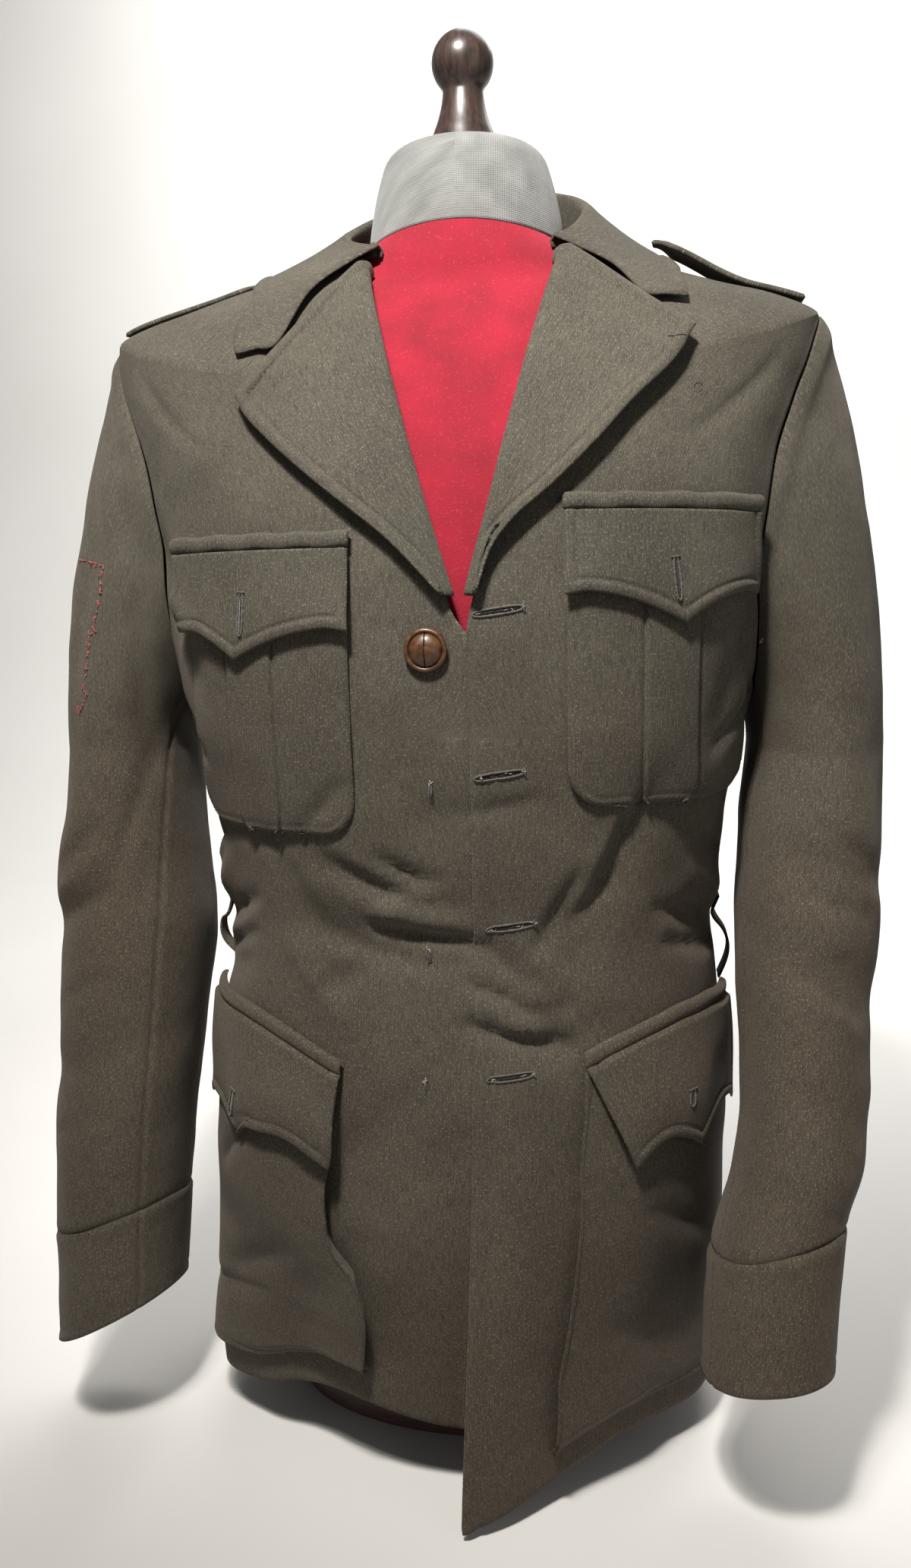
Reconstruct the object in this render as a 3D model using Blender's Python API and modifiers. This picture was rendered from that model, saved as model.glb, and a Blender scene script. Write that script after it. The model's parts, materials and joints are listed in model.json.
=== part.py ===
"""A police uniform jacket on a limbless dress form, in metres, +Z up.

The jacket faces -Y and the wearer's left is at +X. The origin is the middle of the form's flat foot.
The body is worked out from level rings: an angle goes round it, 0 at the centre front and 90 degrees
at the wearer's left side, and a height names the ring by its place at the side seam.
"""
import math

import bpy
import numpy as np
from mathutils import Vector

COLLECTION = "uniform_jacket"

CLOTH = 0.0018
TRIM = 0.0015
GAP = 0.0003
SEAT_ROUNDS = 40
ROLL_ROUNDS = 8
SIGN = {"right": -1.0, "left": 1.0}

ARMHOLE_STEPS = 8
LOWER_ROWS = 17
SHOULDER_ROWS = 3
FRONT_COLUMNS = 14
BACK_COLUMNS = 18
SEAM_STRIP = 0.008
UNDERARM = 0.462
SHOULDER_TIP = 0.687
NECKLINE = 0.730
SIDE_SEAM = math.radians(97)
ARMHOLE_HALF_ANGLE = math.radians(31)

RINGS = [
    # name, z_side, z_front, z_back, middle_x, half_width, front, back, square
    ("hem", 0.030, 0.030, 0.030, -0.003, 0.164, 0.121, 0.122, 0.98),
    ("skirt", 0.100, 0.100, 0.100, -0.002, 0.164, 0.127, 0.125, 0.94),
    ("hip", 0.180, 0.180, 0.180, 0.000, 0.163, 0.131, 0.124, 0.89),
    ("seat", 0.255, 0.255, 0.255, 0.002, 0.160, 0.129, 0.118, 0.85),
    ("waist", 0.335, 0.335, 0.335, 0.003, 0.1535, 0.123, 0.106, 0.83),
    ("rib", 0.400, 0.400, 0.400, 0.004, 0.158, 0.130, 0.112, 0.82),
    ("underarm", 0.462, 0.458, 0.462, 0.004, 0.171, 0.135, 0.120, 0.80),
    ("chest", 0.530, 0.520, 0.535, 0.004, 0.183, 0.137, 0.125, 0.80),
    ("armhole", 0.600, 0.583, 0.612, 0.004, 0.194, 0.130, 0.123, 0.80),
    ("shoulder tip", 0.687, 0.645, 0.690, 0.003, 0.208, 0.108, 0.104, 0.80),
    ("shoulder middle", 0.710, 0.693, 0.721, 0.004, 0.143, 0.078, 0.084, 0.86),
    ("neckline", 0.730, 0.718, 0.742, 0.006, 0.075, 0.057, 0.068, 1.00),
]
RING_NAMES = ("z_side", "z_front", "z_back", "middle_x", "half_width", "front", "back", "square")

FRONT_EDGES = [
    # height, x of the wearer's left edge, x of the wearer's right edge
    (0.030, 0.012, 0.016),
    (0.180, 0.018, 0.022),
    (0.370, 0.021, 0.025),
    (0.505, 0.022, 0.024),
]
ROLL_INSET = 0.001

RIGHT_HEM_LIFT = [
    # x, lift
    (-0.170, 0.000),
    (-0.130, 0.006),
    (-0.098, 0.018),
    (-0.063, 0.026),
    (0.000, 0.017),
    (0.030, 0.015),
]

FOLDS = [
    # name, angle, height, end angle, end height, width, depth
    ("waist crease left of the opening", -2, 0.372, -24, 0.392, 0.011, -0.0035),
    ("second waist crease", 0, 0.338, -26, 0.352, 0.012, -0.0035),
    ("bulge under the third hole", 16, 0.318, 14, 0.296, 0.016, 0.0040),
    ("hollow under the bulge", 12, 0.286, 27, 0.292, 0.014, -0.0040),
    ("long diagonal to the waist", 38, 0.420, 26, 0.345, 0.016, -0.0040),
    ("right side waist ridge", -62, 0.372, -84, 0.345, 0.010, 0.0035),
    ("right side waist trough", -58, 0.350, -86, 0.326, 0.010, -0.0040),
    ("right side hip trough", -52, 0.318, -84, 0.300, 0.012, -0.0035),
    ("left side waist ridge", 60, 0.372, 85, 0.352, 0.010, 0.0035),
    ("left side waist trough", 58, 0.346, 86, 0.330, 0.010, -0.0040),
    ("right hem hollow", -36, 0.020, -30, 0.110, 0.035, -0.0130),
    ("right hem bulge", -66, 0.020, -62, 0.090, 0.024, 0.0060),
    ("left hem hollow", 52, 0.020, 48, 0.100, 0.030, -0.0060),
    ("back waist crease", 150, 0.352, 205, 0.338, 0.013, -0.0040),
    ("back waist ridge", 142, 0.378, 190, 0.372, 0.014, 0.0030),
    ("back right skirt flute", 214, 0.030, 208, 0.250, 0.024, 0.0070),
    ("back left skirt flute", 146, 0.030, 152, 0.240, 0.024, 0.0070),
    ("back middle hollow", 181, 0.030, 180, 0.220, 0.030, -0.0060),
    ("blade fold right", 238, 0.520, 232, 0.430, 0.014, 0.0040),
    ("blade fold left", 122, 0.525, 128, 0.430, 0.014, 0.0040),
]
RADIUS = 0.150

SLEEVES = {
    "left": [
        # z, x, half_width, y, half_depth, slope_x, slope_y
        (0.440, 0.2140, 0.0390, -0.006, 0.064, 0.00, 0.00),
        (0.400, 0.2110, 0.0410, -0.015, 0.063, 0.00, -0.04),
        (0.360, 0.2090, 0.0410, -0.024, 0.060, 0.00, -0.08),
        (0.320, 0.2070, 0.0385, -0.036, 0.057, 0.00, -0.14),
        (0.280, 0.2060, 0.0365, -0.050, 0.053, 0.05, -0.18),
        (0.240, 0.2060, 0.0360, -0.066, 0.050, 0.10, -0.20),
        (0.205, 0.2010, 0.0365, -0.080, 0.049, 0.18, -0.22),
        (0.165, 0.1895, 0.0375, -0.091, 0.049, 0.30, -0.24),
        (0.094, 0.1830, 0.0370, -0.110, 0.047, 0.15, -0.26),
    ],
    "right": [
        (0.440, -0.2155, 0.0375, -0.005, 0.062, 0.00, 0.00),
        (0.400, -0.2155, 0.0405, -0.009, 0.061, 0.00, -0.02),
        (0.360, -0.2145, 0.0440, -0.015, 0.059, 0.00, -0.05),
        (0.320, -0.2135, 0.0475, -0.021, 0.057, 0.05, -0.08),
        (0.280, -0.2155, 0.0465, -0.028, 0.055, 0.10, -0.12),
        (0.240, -0.2180, 0.0445, -0.035, 0.053, 0.16, -0.15),
        (0.200, -0.2205, 0.0430, -0.042, 0.052, 0.22, -0.18),
        (0.140, -0.2225, 0.0410, -0.052, 0.050, 0.33, -0.20),
        (0.075, -0.2235, 0.0395, -0.061, 0.048, 0.50, -0.20),
    ],
}
SLEEVE_NAMES = ("z", "x", "half_width", "y", "half_depth", "slope_x", "slope_y")
SLEEVE_FOLDS = {
    "left": [
        # name, angle, z, end angle, end z, width, depth
        ("head dent", 60, 0.650, 30, 0.610, 0.012, -0.0030),
        ("elbow ridge", 10, 0.440, 70, 0.320, 0.018, 0.0050),
        ("elbow hollow", -5, 0.380, 60, 0.365, 0.014, -0.0045),
        ("lower elbow hollow", -10, 0.325, 55, 0.305, 0.014, -0.0045),
        ("forearm hollow", 5, 0.250, 60, 0.235, 0.013, -0.0030),
        ("back elbow crease", 120, 0.360, 200, 0.345, 0.012, -0.0035),
        ("back forearm crease", 130, 0.300, 190, 0.280, 0.012, -0.0030),
    ],
    "right": [
        ("long head trough", -62, 0.640, -30, 0.545, 0.013, -0.0045),
        ("arm trough", -40, 0.545, -25, 0.455, 0.012, -0.0035),
        ("elbow ridge", -20, 0.400, -80, 0.330, 0.018, 0.0040),
        ("elbow hollow", -5, 0.350, -60, 0.330, 0.014, -0.0040),
        ("forearm hollow", -10, 0.250, -60, 0.235, 0.013, -0.0030),
        ("back elbow crease", -120, 0.370, -200, 0.350, 0.012, -0.0035),
    ],
}
SLEEVE_RADIUS = 0.050
CAP_ROWS = 7
TUBE_HEIGHTS = [0.420, 0.400, 0.380, 0.360, 0.340, 0.320, 0.300, 0.280, 0.255, 0.230, 0.205, 0.180]
CUFF_ROWS = 4


def smooth(knots, values, at):
    """Values at `at` on a curve that passes through the knots and never overshoots them."""
    knots = np.asarray(knots, float)
    values = np.asarray(values, float)
    step = np.diff(knots)
    rise = np.diff(values) / step
    slope = np.empty_like(values)
    slope[0], slope[-1] = rise[0], rise[-1]
    product = rise[1:] * rise[:-1]
    total = np.where(product > 0, rise[1:] + rise[:-1], 1.0)
    slope[1:-1] = np.where(product > 0, 2 * product / total, 0.0)
    at = np.clip(at, knots[0], knots[-1])
    i = np.clip(np.searchsorted(knots, at, side="right") - 1, 0, len(step) - 1)
    t = (at - knots[i]) / step[i]
    start = (1 + 2 * t) * (1 - t) ** 2 * values[i] + t * (1 - t) ** 2 * step[i] * slope[i]
    end = t * t * (3 - 2 * t) * values[i + 1] - t * t * (1 - t) * step[i] * slope[i + 1]
    return start + end


def ease(value, low, high):
    """0 below `low`, 1 above `high`, and a soft step between them."""
    t = np.clip((value - low) / (high - low), 0.0, 1.0)
    return t * t * (3 - 2 * t)


def fold_depth(folds, angle, height, radius):
    """How far all the folds move a point out of the plain surface."""
    moved = np.zeros(np.broadcast(angle, height).shape)
    for _name, a0, z0, a1, z1, width, depth in folds:
        along = np.array([math.radians(a1 - a0) * radius, z1 - z0])
        length = np.hypot(*along)
        turn = angle - math.radians(a0)
        turn = (turn - math.radians(a1 - a0) / 2 + math.pi) % (2 * math.pi) - math.pi
        dx = (turn + math.radians(a1 - a0) / 2) * radius
        dz = height - z0
        share = (dx * along[0] + dz * along[1]) / length ** 2
        across = (dx * along[1] - dz * along[0]) / length
        beyond = np.maximum(np.abs(share - 0.5) - 0.5, 0.0) * length
        fade = np.exp(-(beyond / (1.6 * width)) ** 2) * (1 - 0.35 * np.abs(2 * np.clip(share, 0, 1) - 1))
        moved = moved + depth * np.exp(-(across / width) ** 2) * fade
    return moved


def ring_sizes(height):
    """The ring table's columns at these heights."""
    knots = [row[1] for row in RINGS]
    return {name: smooth(knots, [row[1 + k] for row in RINGS], height)
            for k, name in enumerate(RING_NAMES)}


def body(angle, height, folded=True):
    """The jacket's outer surface, with its folds."""
    ring = ring_sizes(height)
    sine, cosine = np.sin(angle), np.cos(angle)
    reach = np.abs(cosine)
    depth = np.where(cosine > 0, -ring["front"], ring["back"])
    edge = np.where(cosine > 0, ring["z_front"], ring["z_back"])
    swell = 1 + (fold_depth(FOLDS, angle, height, RADIUS) * 1.1 / RADIUS if folded else 0)
    x = ring["half_width"] * np.sign(sine) * np.abs(sine) ** ring["square"] * swell
    y = depth * reach ** ring["square"] * swell
    z = height + (edge - height) * reach ** 1.5
    return np.stack(np.broadcast_arrays(x + ring["middle_x"], y, z), axis=-1)


def plain_body(angle, height):
    return body(angle, height, folded=False)


def outward(surface, a, b, step_a=0.012, step_b=0.003):
    """Unit normals of surface(a, b)."""
    along = surface(a + step_a, b) - surface(a - step_a, b)
    up = surface(a, b + step_b) - surface(a, b - step_b)
    normal = np.cross(along, up)
    return normal / np.maximum(np.linalg.norm(normal, axis=-1, keepdims=True), 1e-12)


def lie(angle, height, out):
    """Points lying `out` above the jacket's outer surface."""
    lift = np.asarray(out, float)[..., None] if np.ndim(out) else out
    return body(angle, height) + outward(body, angle, height) * lift


def seat(x, z):
    """The angle and height of the point of the front that shows at x and z."""
    x, z = np.broadcast_arrays(np.asarray(x, float), np.asarray(z, float))
    height = z.copy()
    for _ in range(SEAT_ROUNDS):
        angle = angle_at(x, height)
        height = np.clip(height + 0.45 * (z - body(angle, height)[..., 2]), 0.0, NECKLINE)
    return angle, height


def angle_at(x, height):
    """The angle at which a ring's front passes x."""
    ring = ring_sizes(height)
    ratio = np.clip(np.abs(x - ring["middle_x"]) / ring["half_width"], 0.0, 0.9999)
    return np.sign(x - ring["middle_x"]) * np.arcsin(ratio ** (1 / ring["square"]))


def armhole_heights():
    steps = np.arange(ARMHOLE_STEPS + 1) / ARMHOLE_STEPS
    middle, half = (UNDERARM + SHOULDER_TIP) / 2, (SHOULDER_TIP - UNDERARM) / 2
    return middle - half * np.cos(math.pi * steps)


def row_heights():
    lower = np.linspace(RINGS[0][1], UNDERARM, LOWER_ROWS + 1)[:-1]
    upper = np.linspace(SHOULDER_TIP, NECKLINE, SHOULDER_ROWS + 1)[1:]
    return np.concatenate([lower, armhole_heights(), upper])


def side_limit(height, back):
    """Angle at which a panel ends: side seam, armhole, or shoulder seam."""
    middle, half = (UNDERARM + SHOULDER_TIP) / 2, (SHOULDER_TIP - UNDERARM) / 2
    inside = np.sqrt(np.clip(1 - ((height - middle) / half) ** 2, 0.0, 1.0))
    base = SIDE_SEAM + (math.pi / 2 - SIDE_SEAM) * ease(height, UNDERARM, SHOULDER_TIP)
    reach = ARMHOLE_HALF_ANGLE * inside ** 0.85
    return base + reach * 0.95 if back else base - reach


def edge_angle(side, height):
    column = 1 if side == "left" else 2
    below = smooth([row[0] for row in FRONT_EDGES], [row[column] for row in FRONT_EDGES], height)
    x0, z0, x1, z1 = LAPEL_ROLL[side]
    x = below
    for _ in range(ROLL_ROUNDS):
        z = body(angle_at(x, height), height)[..., 2]
        roll = x0 + (x1 - x0) * (z - z0) / (z1 - z0) + ROLL_INSET * SIGN[side]
        x = below + (roll - below) * ease(z, z0 - 0.032, z0 - 0.008)
    return angle_at(x, height)


def lap(side, x, height):
    """How far the wearer's left front is moved out to lie over the right one."""
    near = 1 - ease(x, 0.035, 0.065)
    return (CLOTH + 2 * GAP) * near * (1 - ease(height, 0.54, 0.58)) * (side == "left")


def seam_angle(distance, height):
    """A length along a ring, as an angle."""
    return distance / ring_sizes(height)["half_width"]


def panel_shares(columns):
    """Shares across a panel, with a narrow strip along each seam so that the wall ends square."""
    inner = np.linspace(0.0, 1.0, columns)
    return np.concatenate([inner[:1], [SEAM_STRIP], inner[1:-1], [1 - SEAM_STRIP], inner[-1:]])[None, :]


def front_grid(side):
    """Points of one front, from the hem up, with columns from the wearer's right to left."""
    heights = row_heights()[:, None]
    share = panel_shares(FRONT_COLUMNS)
    limit = side_limit(heights, back=False) - seam_angle(GAP, heights) / 2
    edge = edge_angle(side, heights)
    if side == "left":
        angle = edge + (limit - edge) * share
    else:
        angle = -limit + (edge + limit) * share
    heights = heights + 0 * angle
    points = lie(angle, heights, lap(side, body(angle, heights)[..., 0], heights))
    return hang_hem(points, side)


def hang_hem(points, side):
    """The wearer's left corner hangs lower and swings forward, and the right hem rises a little."""
    x, z = points[..., 0], points[..., 2]
    low = 1 - ease(z, 0.020, 0.230)
    moved = points.copy()
    if side == "left":
        corner = 1 - ease(x, 0.004, 0.100)
        moved[..., 1] -= 0.032 * corner * low
        moved[..., 2] -= 0.0255 * (1 - np.clip((x - 0.010) / 0.090, 0, 1)) * (1 - ease(z, 0.028, 0.200))
    else:
        lift = smooth([row[0] for row in RIGHT_HEM_LIFT], [row[1] for row in RIGHT_HEM_LIFT], x)
        moved[..., 2] += lift * (1 - ease(z, 0.028, 0.160))
    return moved


def back_grid():
    heights = row_heights()[:, None]
    share = panel_shares(BACK_COLUMNS)
    limit = side_limit(heights, back=True) + seam_angle(GAP, heights) / 2
    angle = limit + (2 * math.pi - 2 * limit) * share
    return body(angle, heights + 0 * angle)


def armhole_loop(side):
    """The edge of the armhole: underarm, up the front, over the shoulder tip, down the back."""
    heights = armhole_heights()
    up = [(side_limit(h, back=False), h) for h in heights]
    down = [(side_limit(h, back=True), h) for h in heights[-2:0:-1]]
    angle = np.array([a for a, _h in up + down])
    height = np.array([h for _a, h in up + down])
    return angle * SIGN[side], height


def sleeve_section(side, z, turn):
    """A ring of the sleeve: turn is 0 at the front and 90 degrees at its outer side."""
    rows = SLEEVES[side]
    knots = [-row[0] for row in rows]
    at = {name: smooth(knots, [row[k] for row in rows], -z) for k, name in enumerate(SLEEVE_NAMES)}
    outer = np.sin(turn) * SIGN[side]
    ahead = -np.cos(turn)
    dx = at["half_width"] * np.sign(outer) * np.abs(outer) ** 0.92
    dy = at["half_depth"] * np.sign(ahead) * np.abs(ahead) ** 0.92
    dz = at["slope_x"] * dx + at["slope_y"] * dy
    return np.stack(np.broadcast_arrays(at["x"] + dx, at["y"] + dy, z + dz), axis=-1)


def sleeve_turns():
    count = 2 * ARMHOLE_STEPS
    return np.arange(count) * 2 * math.pi / count - math.pi / 2


def sleeve_rows(side):
    """Rings of the sleeve from the armhole down to the cuff seam, underarm first."""
    angle, height = armhole_loop(side)
    start = lie(angle, height, 0.0004)
    middle = start.mean(axis=0)
    turn = sleeve_turns()
    top = sleeve_section(side, SLEEVES[side][0][0], turn)
    away = np.array([SIGN[side], 0.0, 0.0])
    inward = middle - start
    inward[:, 0] = 0.0
    inward /= np.linalg.norm(inward, axis=1, keepdims=True)
    start = start + away * (GAP + 0.0012) + inward * 0.0004
    length = np.linalg.norm(top - start, axis=1, keepdims=True)
    leave = 0.14 * length * away + 0.5 * (top - start)
    arrive = np.array([0.0, 0.0, -1.0]) * length * 1.1
    rows = []
    for k in range(CAP_ROWS + 1):
        t = k / CAP_ROWS
        rows.append((2 * t ** 3 - 3 * t ** 2 + 1) * start + (t ** 3 - 2 * t ** 2 + t) * leave
                    + (3 * t ** 2 - 2 * t ** 3) * top + (t ** 3 - t ** 2) * arrive)
    for z in TUBE_HEIGHTS:
        rows.append(sleeve_section(side, z, turn))
    return rows


def crease_sleeve(side, rows):
    """Move each ring's points out or in by the sleeve's folds."""
    turn = sleeve_turns() * SIGN[side]
    creased = []
    for row in rows:
        centre = row.mean(axis=0)
        out = row - centre
        out /= np.linalg.norm(out, axis=1, keepdims=True)
        depth = fold_depth(SLEEVE_FOLDS[side], turn, row[:, 2], SLEEVE_RADIUS)
        creased.append(row + out * depth[:, None])
    return creased


def sleeve_grid(side):
    """The sleeve's rows, bottom up, with the cuff seam last."""
    seam = SLEEVES[side][-2][0] + GAP / 2
    rows = sleeve_rows(side) + [sleeve_section(side, seam, sleeve_turns())]
    rows = crease_sleeve(side, rows[1:])
    rows = [sleeve_rows(side)[0]] + rows
    return handed(np.stack(rows[::-1]), side)


def cuff_grid(side):
    turn = sleeve_turns()
    top, bottom = SLEEVES[side][-2][0] - GAP / 2, SLEEVES[side][-1][0]
    rows = [sleeve_section(side, bottom + (top - bottom) * k / CUFF_ROWS, turn)
            for k in range(CUFF_ROWS + 1)]
    return handed(np.stack(rows), side)


LAPEL_ROLL = {
    # bottom x, bottom z, top x, top z
    "left": (0.0240, 0.532, 0.0675, 0.718),
    "right": (0.0100, 0.532, -0.0458, 0.7145),
}
LAPEL_EDGE = {
    "left": [
        # share of the roll line, x, z
        (0.00, 0.0275, 0.5330),
        (0.12, 0.0340, 0.5520),
        (0.25, 0.0440, 0.5665),
        (0.40, 0.0650, 0.5855),
        (0.55, 0.0865, 0.6065),
        (0.70, 0.1035, 0.6255),
        (0.85, 0.1225, 0.6445),
        (1.00, 0.1350, 0.6625),
    ],
    "right": [
        (0.00, 0.0070, 0.5330),
        (0.12, -0.0065, 0.5470),
        (0.25, -0.0210, 0.5610),
        (0.40, -0.0430, 0.5785),
        (0.55, -0.0665, 0.5970),
        (0.70, -0.0835, 0.6115),
        (0.85, -0.0985, 0.6265),
        (1.00, -0.1045, 0.6370),
    ],
}
LAPEL_ACROSS = [
    # share from the roll to the edge, step back from the roll, how far out
    (0.00, 0.0110, -0.0056),
    (0.00, 0.0010, -0.0054),
    (0.00, -0.0036, -0.0016),
    (0.00, -0.0034, 0.0022),
    (0.03, 0.0000, 0.0048),
    (0.16, 0.0000, 0.0048),
    (0.38, 0.0000, 0.0046),
    (0.62, 0.0000, 0.0048),
    (0.82, 0.0000, 0.0056),
    (1.00, 0.0000, 0.0068),
]
LAPEL_ROWS = 12

COLLAR_STATIONS = [
    # angle, stand on the left, stand on the right, lean in, edge angle left, edge angle right, edge height
    (48.0, 0.002, 0.002, 0.000, 0.0, 0.0, 0.0),
    (64.0, 0.008, 0.004, 0.001, 57.0, 47.0, 0.7090),
    (90.0, 0.021, 0.011, 0.002, 86.0, 82.0, 0.7175),
    (120.0, 0.032, 0.024, 0.005, 121.0, 120.0, 0.7165),
    (150.0, 0.037, 0.034, 0.007, 151.0, 151.0, 0.7170),
    (180.0, 0.039, 0.039, 0.008, 180.0, 180.0, 0.7170),
]
COLLAR_TIPS = {"left": (0.1329, 0.6850), "right": (-0.1084, 0.6615)}
COLLAR_NOTCHES = {"left": (0.1094, 0.6862), "right": (-0.0851, 0.6655)}
COLLAR_COLUMNS = 23
COLLAR_FALL = [1.0, 0.82, 0.60, 0.36, 0.12, 0.0]
COLLAR_OUT = 0.0046
RIGHT_GORGE = 37.0

STRAPS = {
    # outer x, inner x, how far the inner end lifts
    "left": (0.2020, 0.1170, 0.0100),
    "right": (0.2020, 0.1170, 0.0000),
}
STRAP_HALF = 0.0200
STRAP_Y = -0.004
STRAP_WALL = 0.0026

CHEST_POCKETS = {
    # inner x, outer x, welt z, point x, pleat x
    "left": (0.0700, 0.1690, 0.5775, 0.1283, 0.1246),
    "right": (-0.0410, -0.1460, 0.5610, -0.1044, -0.1000),
}
WELT_HALF = 0.0045
WELT_WALL = 0.0026
FLAP_DROP = 0.0390
FLAP_POINT = 0.0170
POCKET_DROP = 0.158
POCKET_INSET = 0.002
POCKET_CORNER = 0.020
PLEAT_HALF = 0.0133
PLEAT_RAISE = 0.0014
POCKET_OUT = 0.0032

LOWER_POCKETS = {
    # outer angle, bottom z, height of the flap's corners, height of its point
    "left": (84.0, 0.050, 0.2163, 0.2172),
    "right": (-78.0, 0.055, 0.2134, 0.2167),
}
LOWER_LINES = {
    # share of the height, x of the pocket's inner edge
    "left": [(0.0, 0.0608), (0.2, 0.0650), (0.5, 0.0730), (0.8, 0.0780), (1.0, 0.0800)],
    "right": [(0.0, -0.0465), (0.307, -0.0427), (0.411, -0.0455), (0.496, -0.0605),
              (0.55, -0.0640), (0.657, -0.0650), (0.82, -0.0618), (1.0, -0.0560)],
}
LOWER_TOPS = {
    # angle, height of the pocket's top line
    "left": [(25.5, 0.2765), (33.5, 0.2838), (42.5, 0.2905), (54.5, 0.2947), (64.0, 0.2947),
             (75.5, 0.2915), (88.0, 0.2890)],
    "right": [(18.5, 0.2698), (25.0, 0.2771), (32.5, 0.2840), (41.5, 0.2894), (50.5, 0.2917),
              (60.0, 0.2917), (88.0, 0.2890)],
}
FLAP_ARCH = 0.0130
FLAP_SWING = {
    # degrees that the flap's lower edge swings outwards at its inner corner, point and outer corner
    "left": (10.0, -0.3, 0.0),
    "right": (1.5, -3.7, 0.0),
}
BELLOWS = 0.0075
LOWER_SEAT = {"left": 0.0031, "right": 0.0037}
WELT_SEAT = 0.0031
LOWER_FOOT = {"left": 0.0009, "right": 0.0025}
BELT_LOOPS = {
    # angle, top z, bottom z, how far it bows out
    "left": (88.0, 0.345, 0.292, 0.0075),
    "right": (-86.0, 0.348, 0.303, 0.0100),
}
BUTTON = {"x": -0.001, "z": 0.504, "radius": 0.0115, "height": 0.0075}


BUTTON_PROFILE = [
    # share of the radius, share of the height
    (0.00, 1.00), (0.35, 0.96), (0.62, 0.84), (0.80, 0.62), (0.88, 0.50), (0.97, 0.46),
    (1.00, 0.30), (0.92, 0.10), (0.60, 0.00), (0.00, 0.00),
]

FORM_COLUMNS = 28
FORM_FOOT = [
    # z, half_width, half_depth
    (0.000, 0.118, 0.066),
    (0.010, 0.122, 0.071),
    (0.040, 0.136, 0.092),
]
FORM_RINGS = [
    # height, clear at the sides and back, clear at the front
    (0.090, 0.024, 0.024),
    (0.150, 0.018, 0.018),
    (0.210, 0.016, 0.016),
    (0.270, 0.014, 0.014),
    (0.330, 0.013, 0.013),
    (0.390, 0.012, 0.012),
    (0.440, 0.011, 0.011),
    (0.490, 0.010, 0.010),
    (0.540, 0.009, 0.009),
    (0.590, 0.008, 0.009),
    (0.635, 0.006, 0.009),
    (0.668, 0.007, 0.009),
    (0.687, 0.0065, 0.009),
    (0.703, 0.0045, 0.009),
    (0.716, 0.0030, 0.009),
    (0.728, 0.0030, 0.009),
]
NECK_X = 0.0065
NECK_JOINT = 0.7315
NECK_SLOPE = 0.17
FORM_NECK = [
    # z, half_width, half_depth, slope
    (0.7315, 0.0600, 0.0560, 0.17),
    (0.7450, 0.0580, 0.0545, 0.09),
    (0.7600, 0.0545, 0.0525, 0.03),
    (0.7730, 0.0505, 0.0495, 0.00),
    (0.7820, 0.0470, 0.0465, 0.00),
    (0.7870, 0.0410, 0.0410, 0.00),
    (0.7890, 0.0310, 0.0310, 0.00),
]
KNOB_Z = 0.8385
KNOB_RADIUS = 0.0183
KNOB_START = 0.22
KNOB_STEPS = 8
KNOB_FOOT = [
    # radius, z
    (0.0000, 0.7896),
    (0.0210, 0.7896),
    (0.0210, 0.7925),
    (0.0185, 0.7990),
    (0.0150, 0.8080),
    (0.0120, 0.8170),
]


def lie_on_front(side, x, z, out):
    """Points on a front seen at x and z, moved out, with the overlap's lift."""
    angle, height = seat(x, z)
    return lie(angle, height, out + lap(side, x, height))


def lapel_grid(side):
    """The lapel wraps the front's edge and lies back on the chest; its rows run up the roll."""
    x0, z0, x1, z1 = LAPEL_ROLL[side]
    share = np.linspace(0.0, 1.0, LAPEL_ROWS)[:, None]
    roll_x, roll_z = x0 + (x1 - x0) * share, z0 + (z1 - z0) * share
    knots = [row[0] for row in LAPEL_EDGE[side]]
    edge_x = smooth(knots, [row[1] for row in LAPEL_EDGE[side]], share)
    edge_z = smooth(knots, [row[2] for row in LAPEL_EDGE[side]], share)
    across = np.array([row[0] for row in LAPEL_ACROSS])[None, :]
    back = np.array([row[1] for row in LAPEL_ACROSS])[None, :] * SIGN[side]
    out = np.array([row[2] for row in LAPEL_ACROSS])[None, :]
    x = roll_x + (edge_x - roll_x) * across + back
    z = roll_z + (edge_z - roll_z) * across
    return handed(lie_on_front(side, x, z, out + 0 * x), side)


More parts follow.
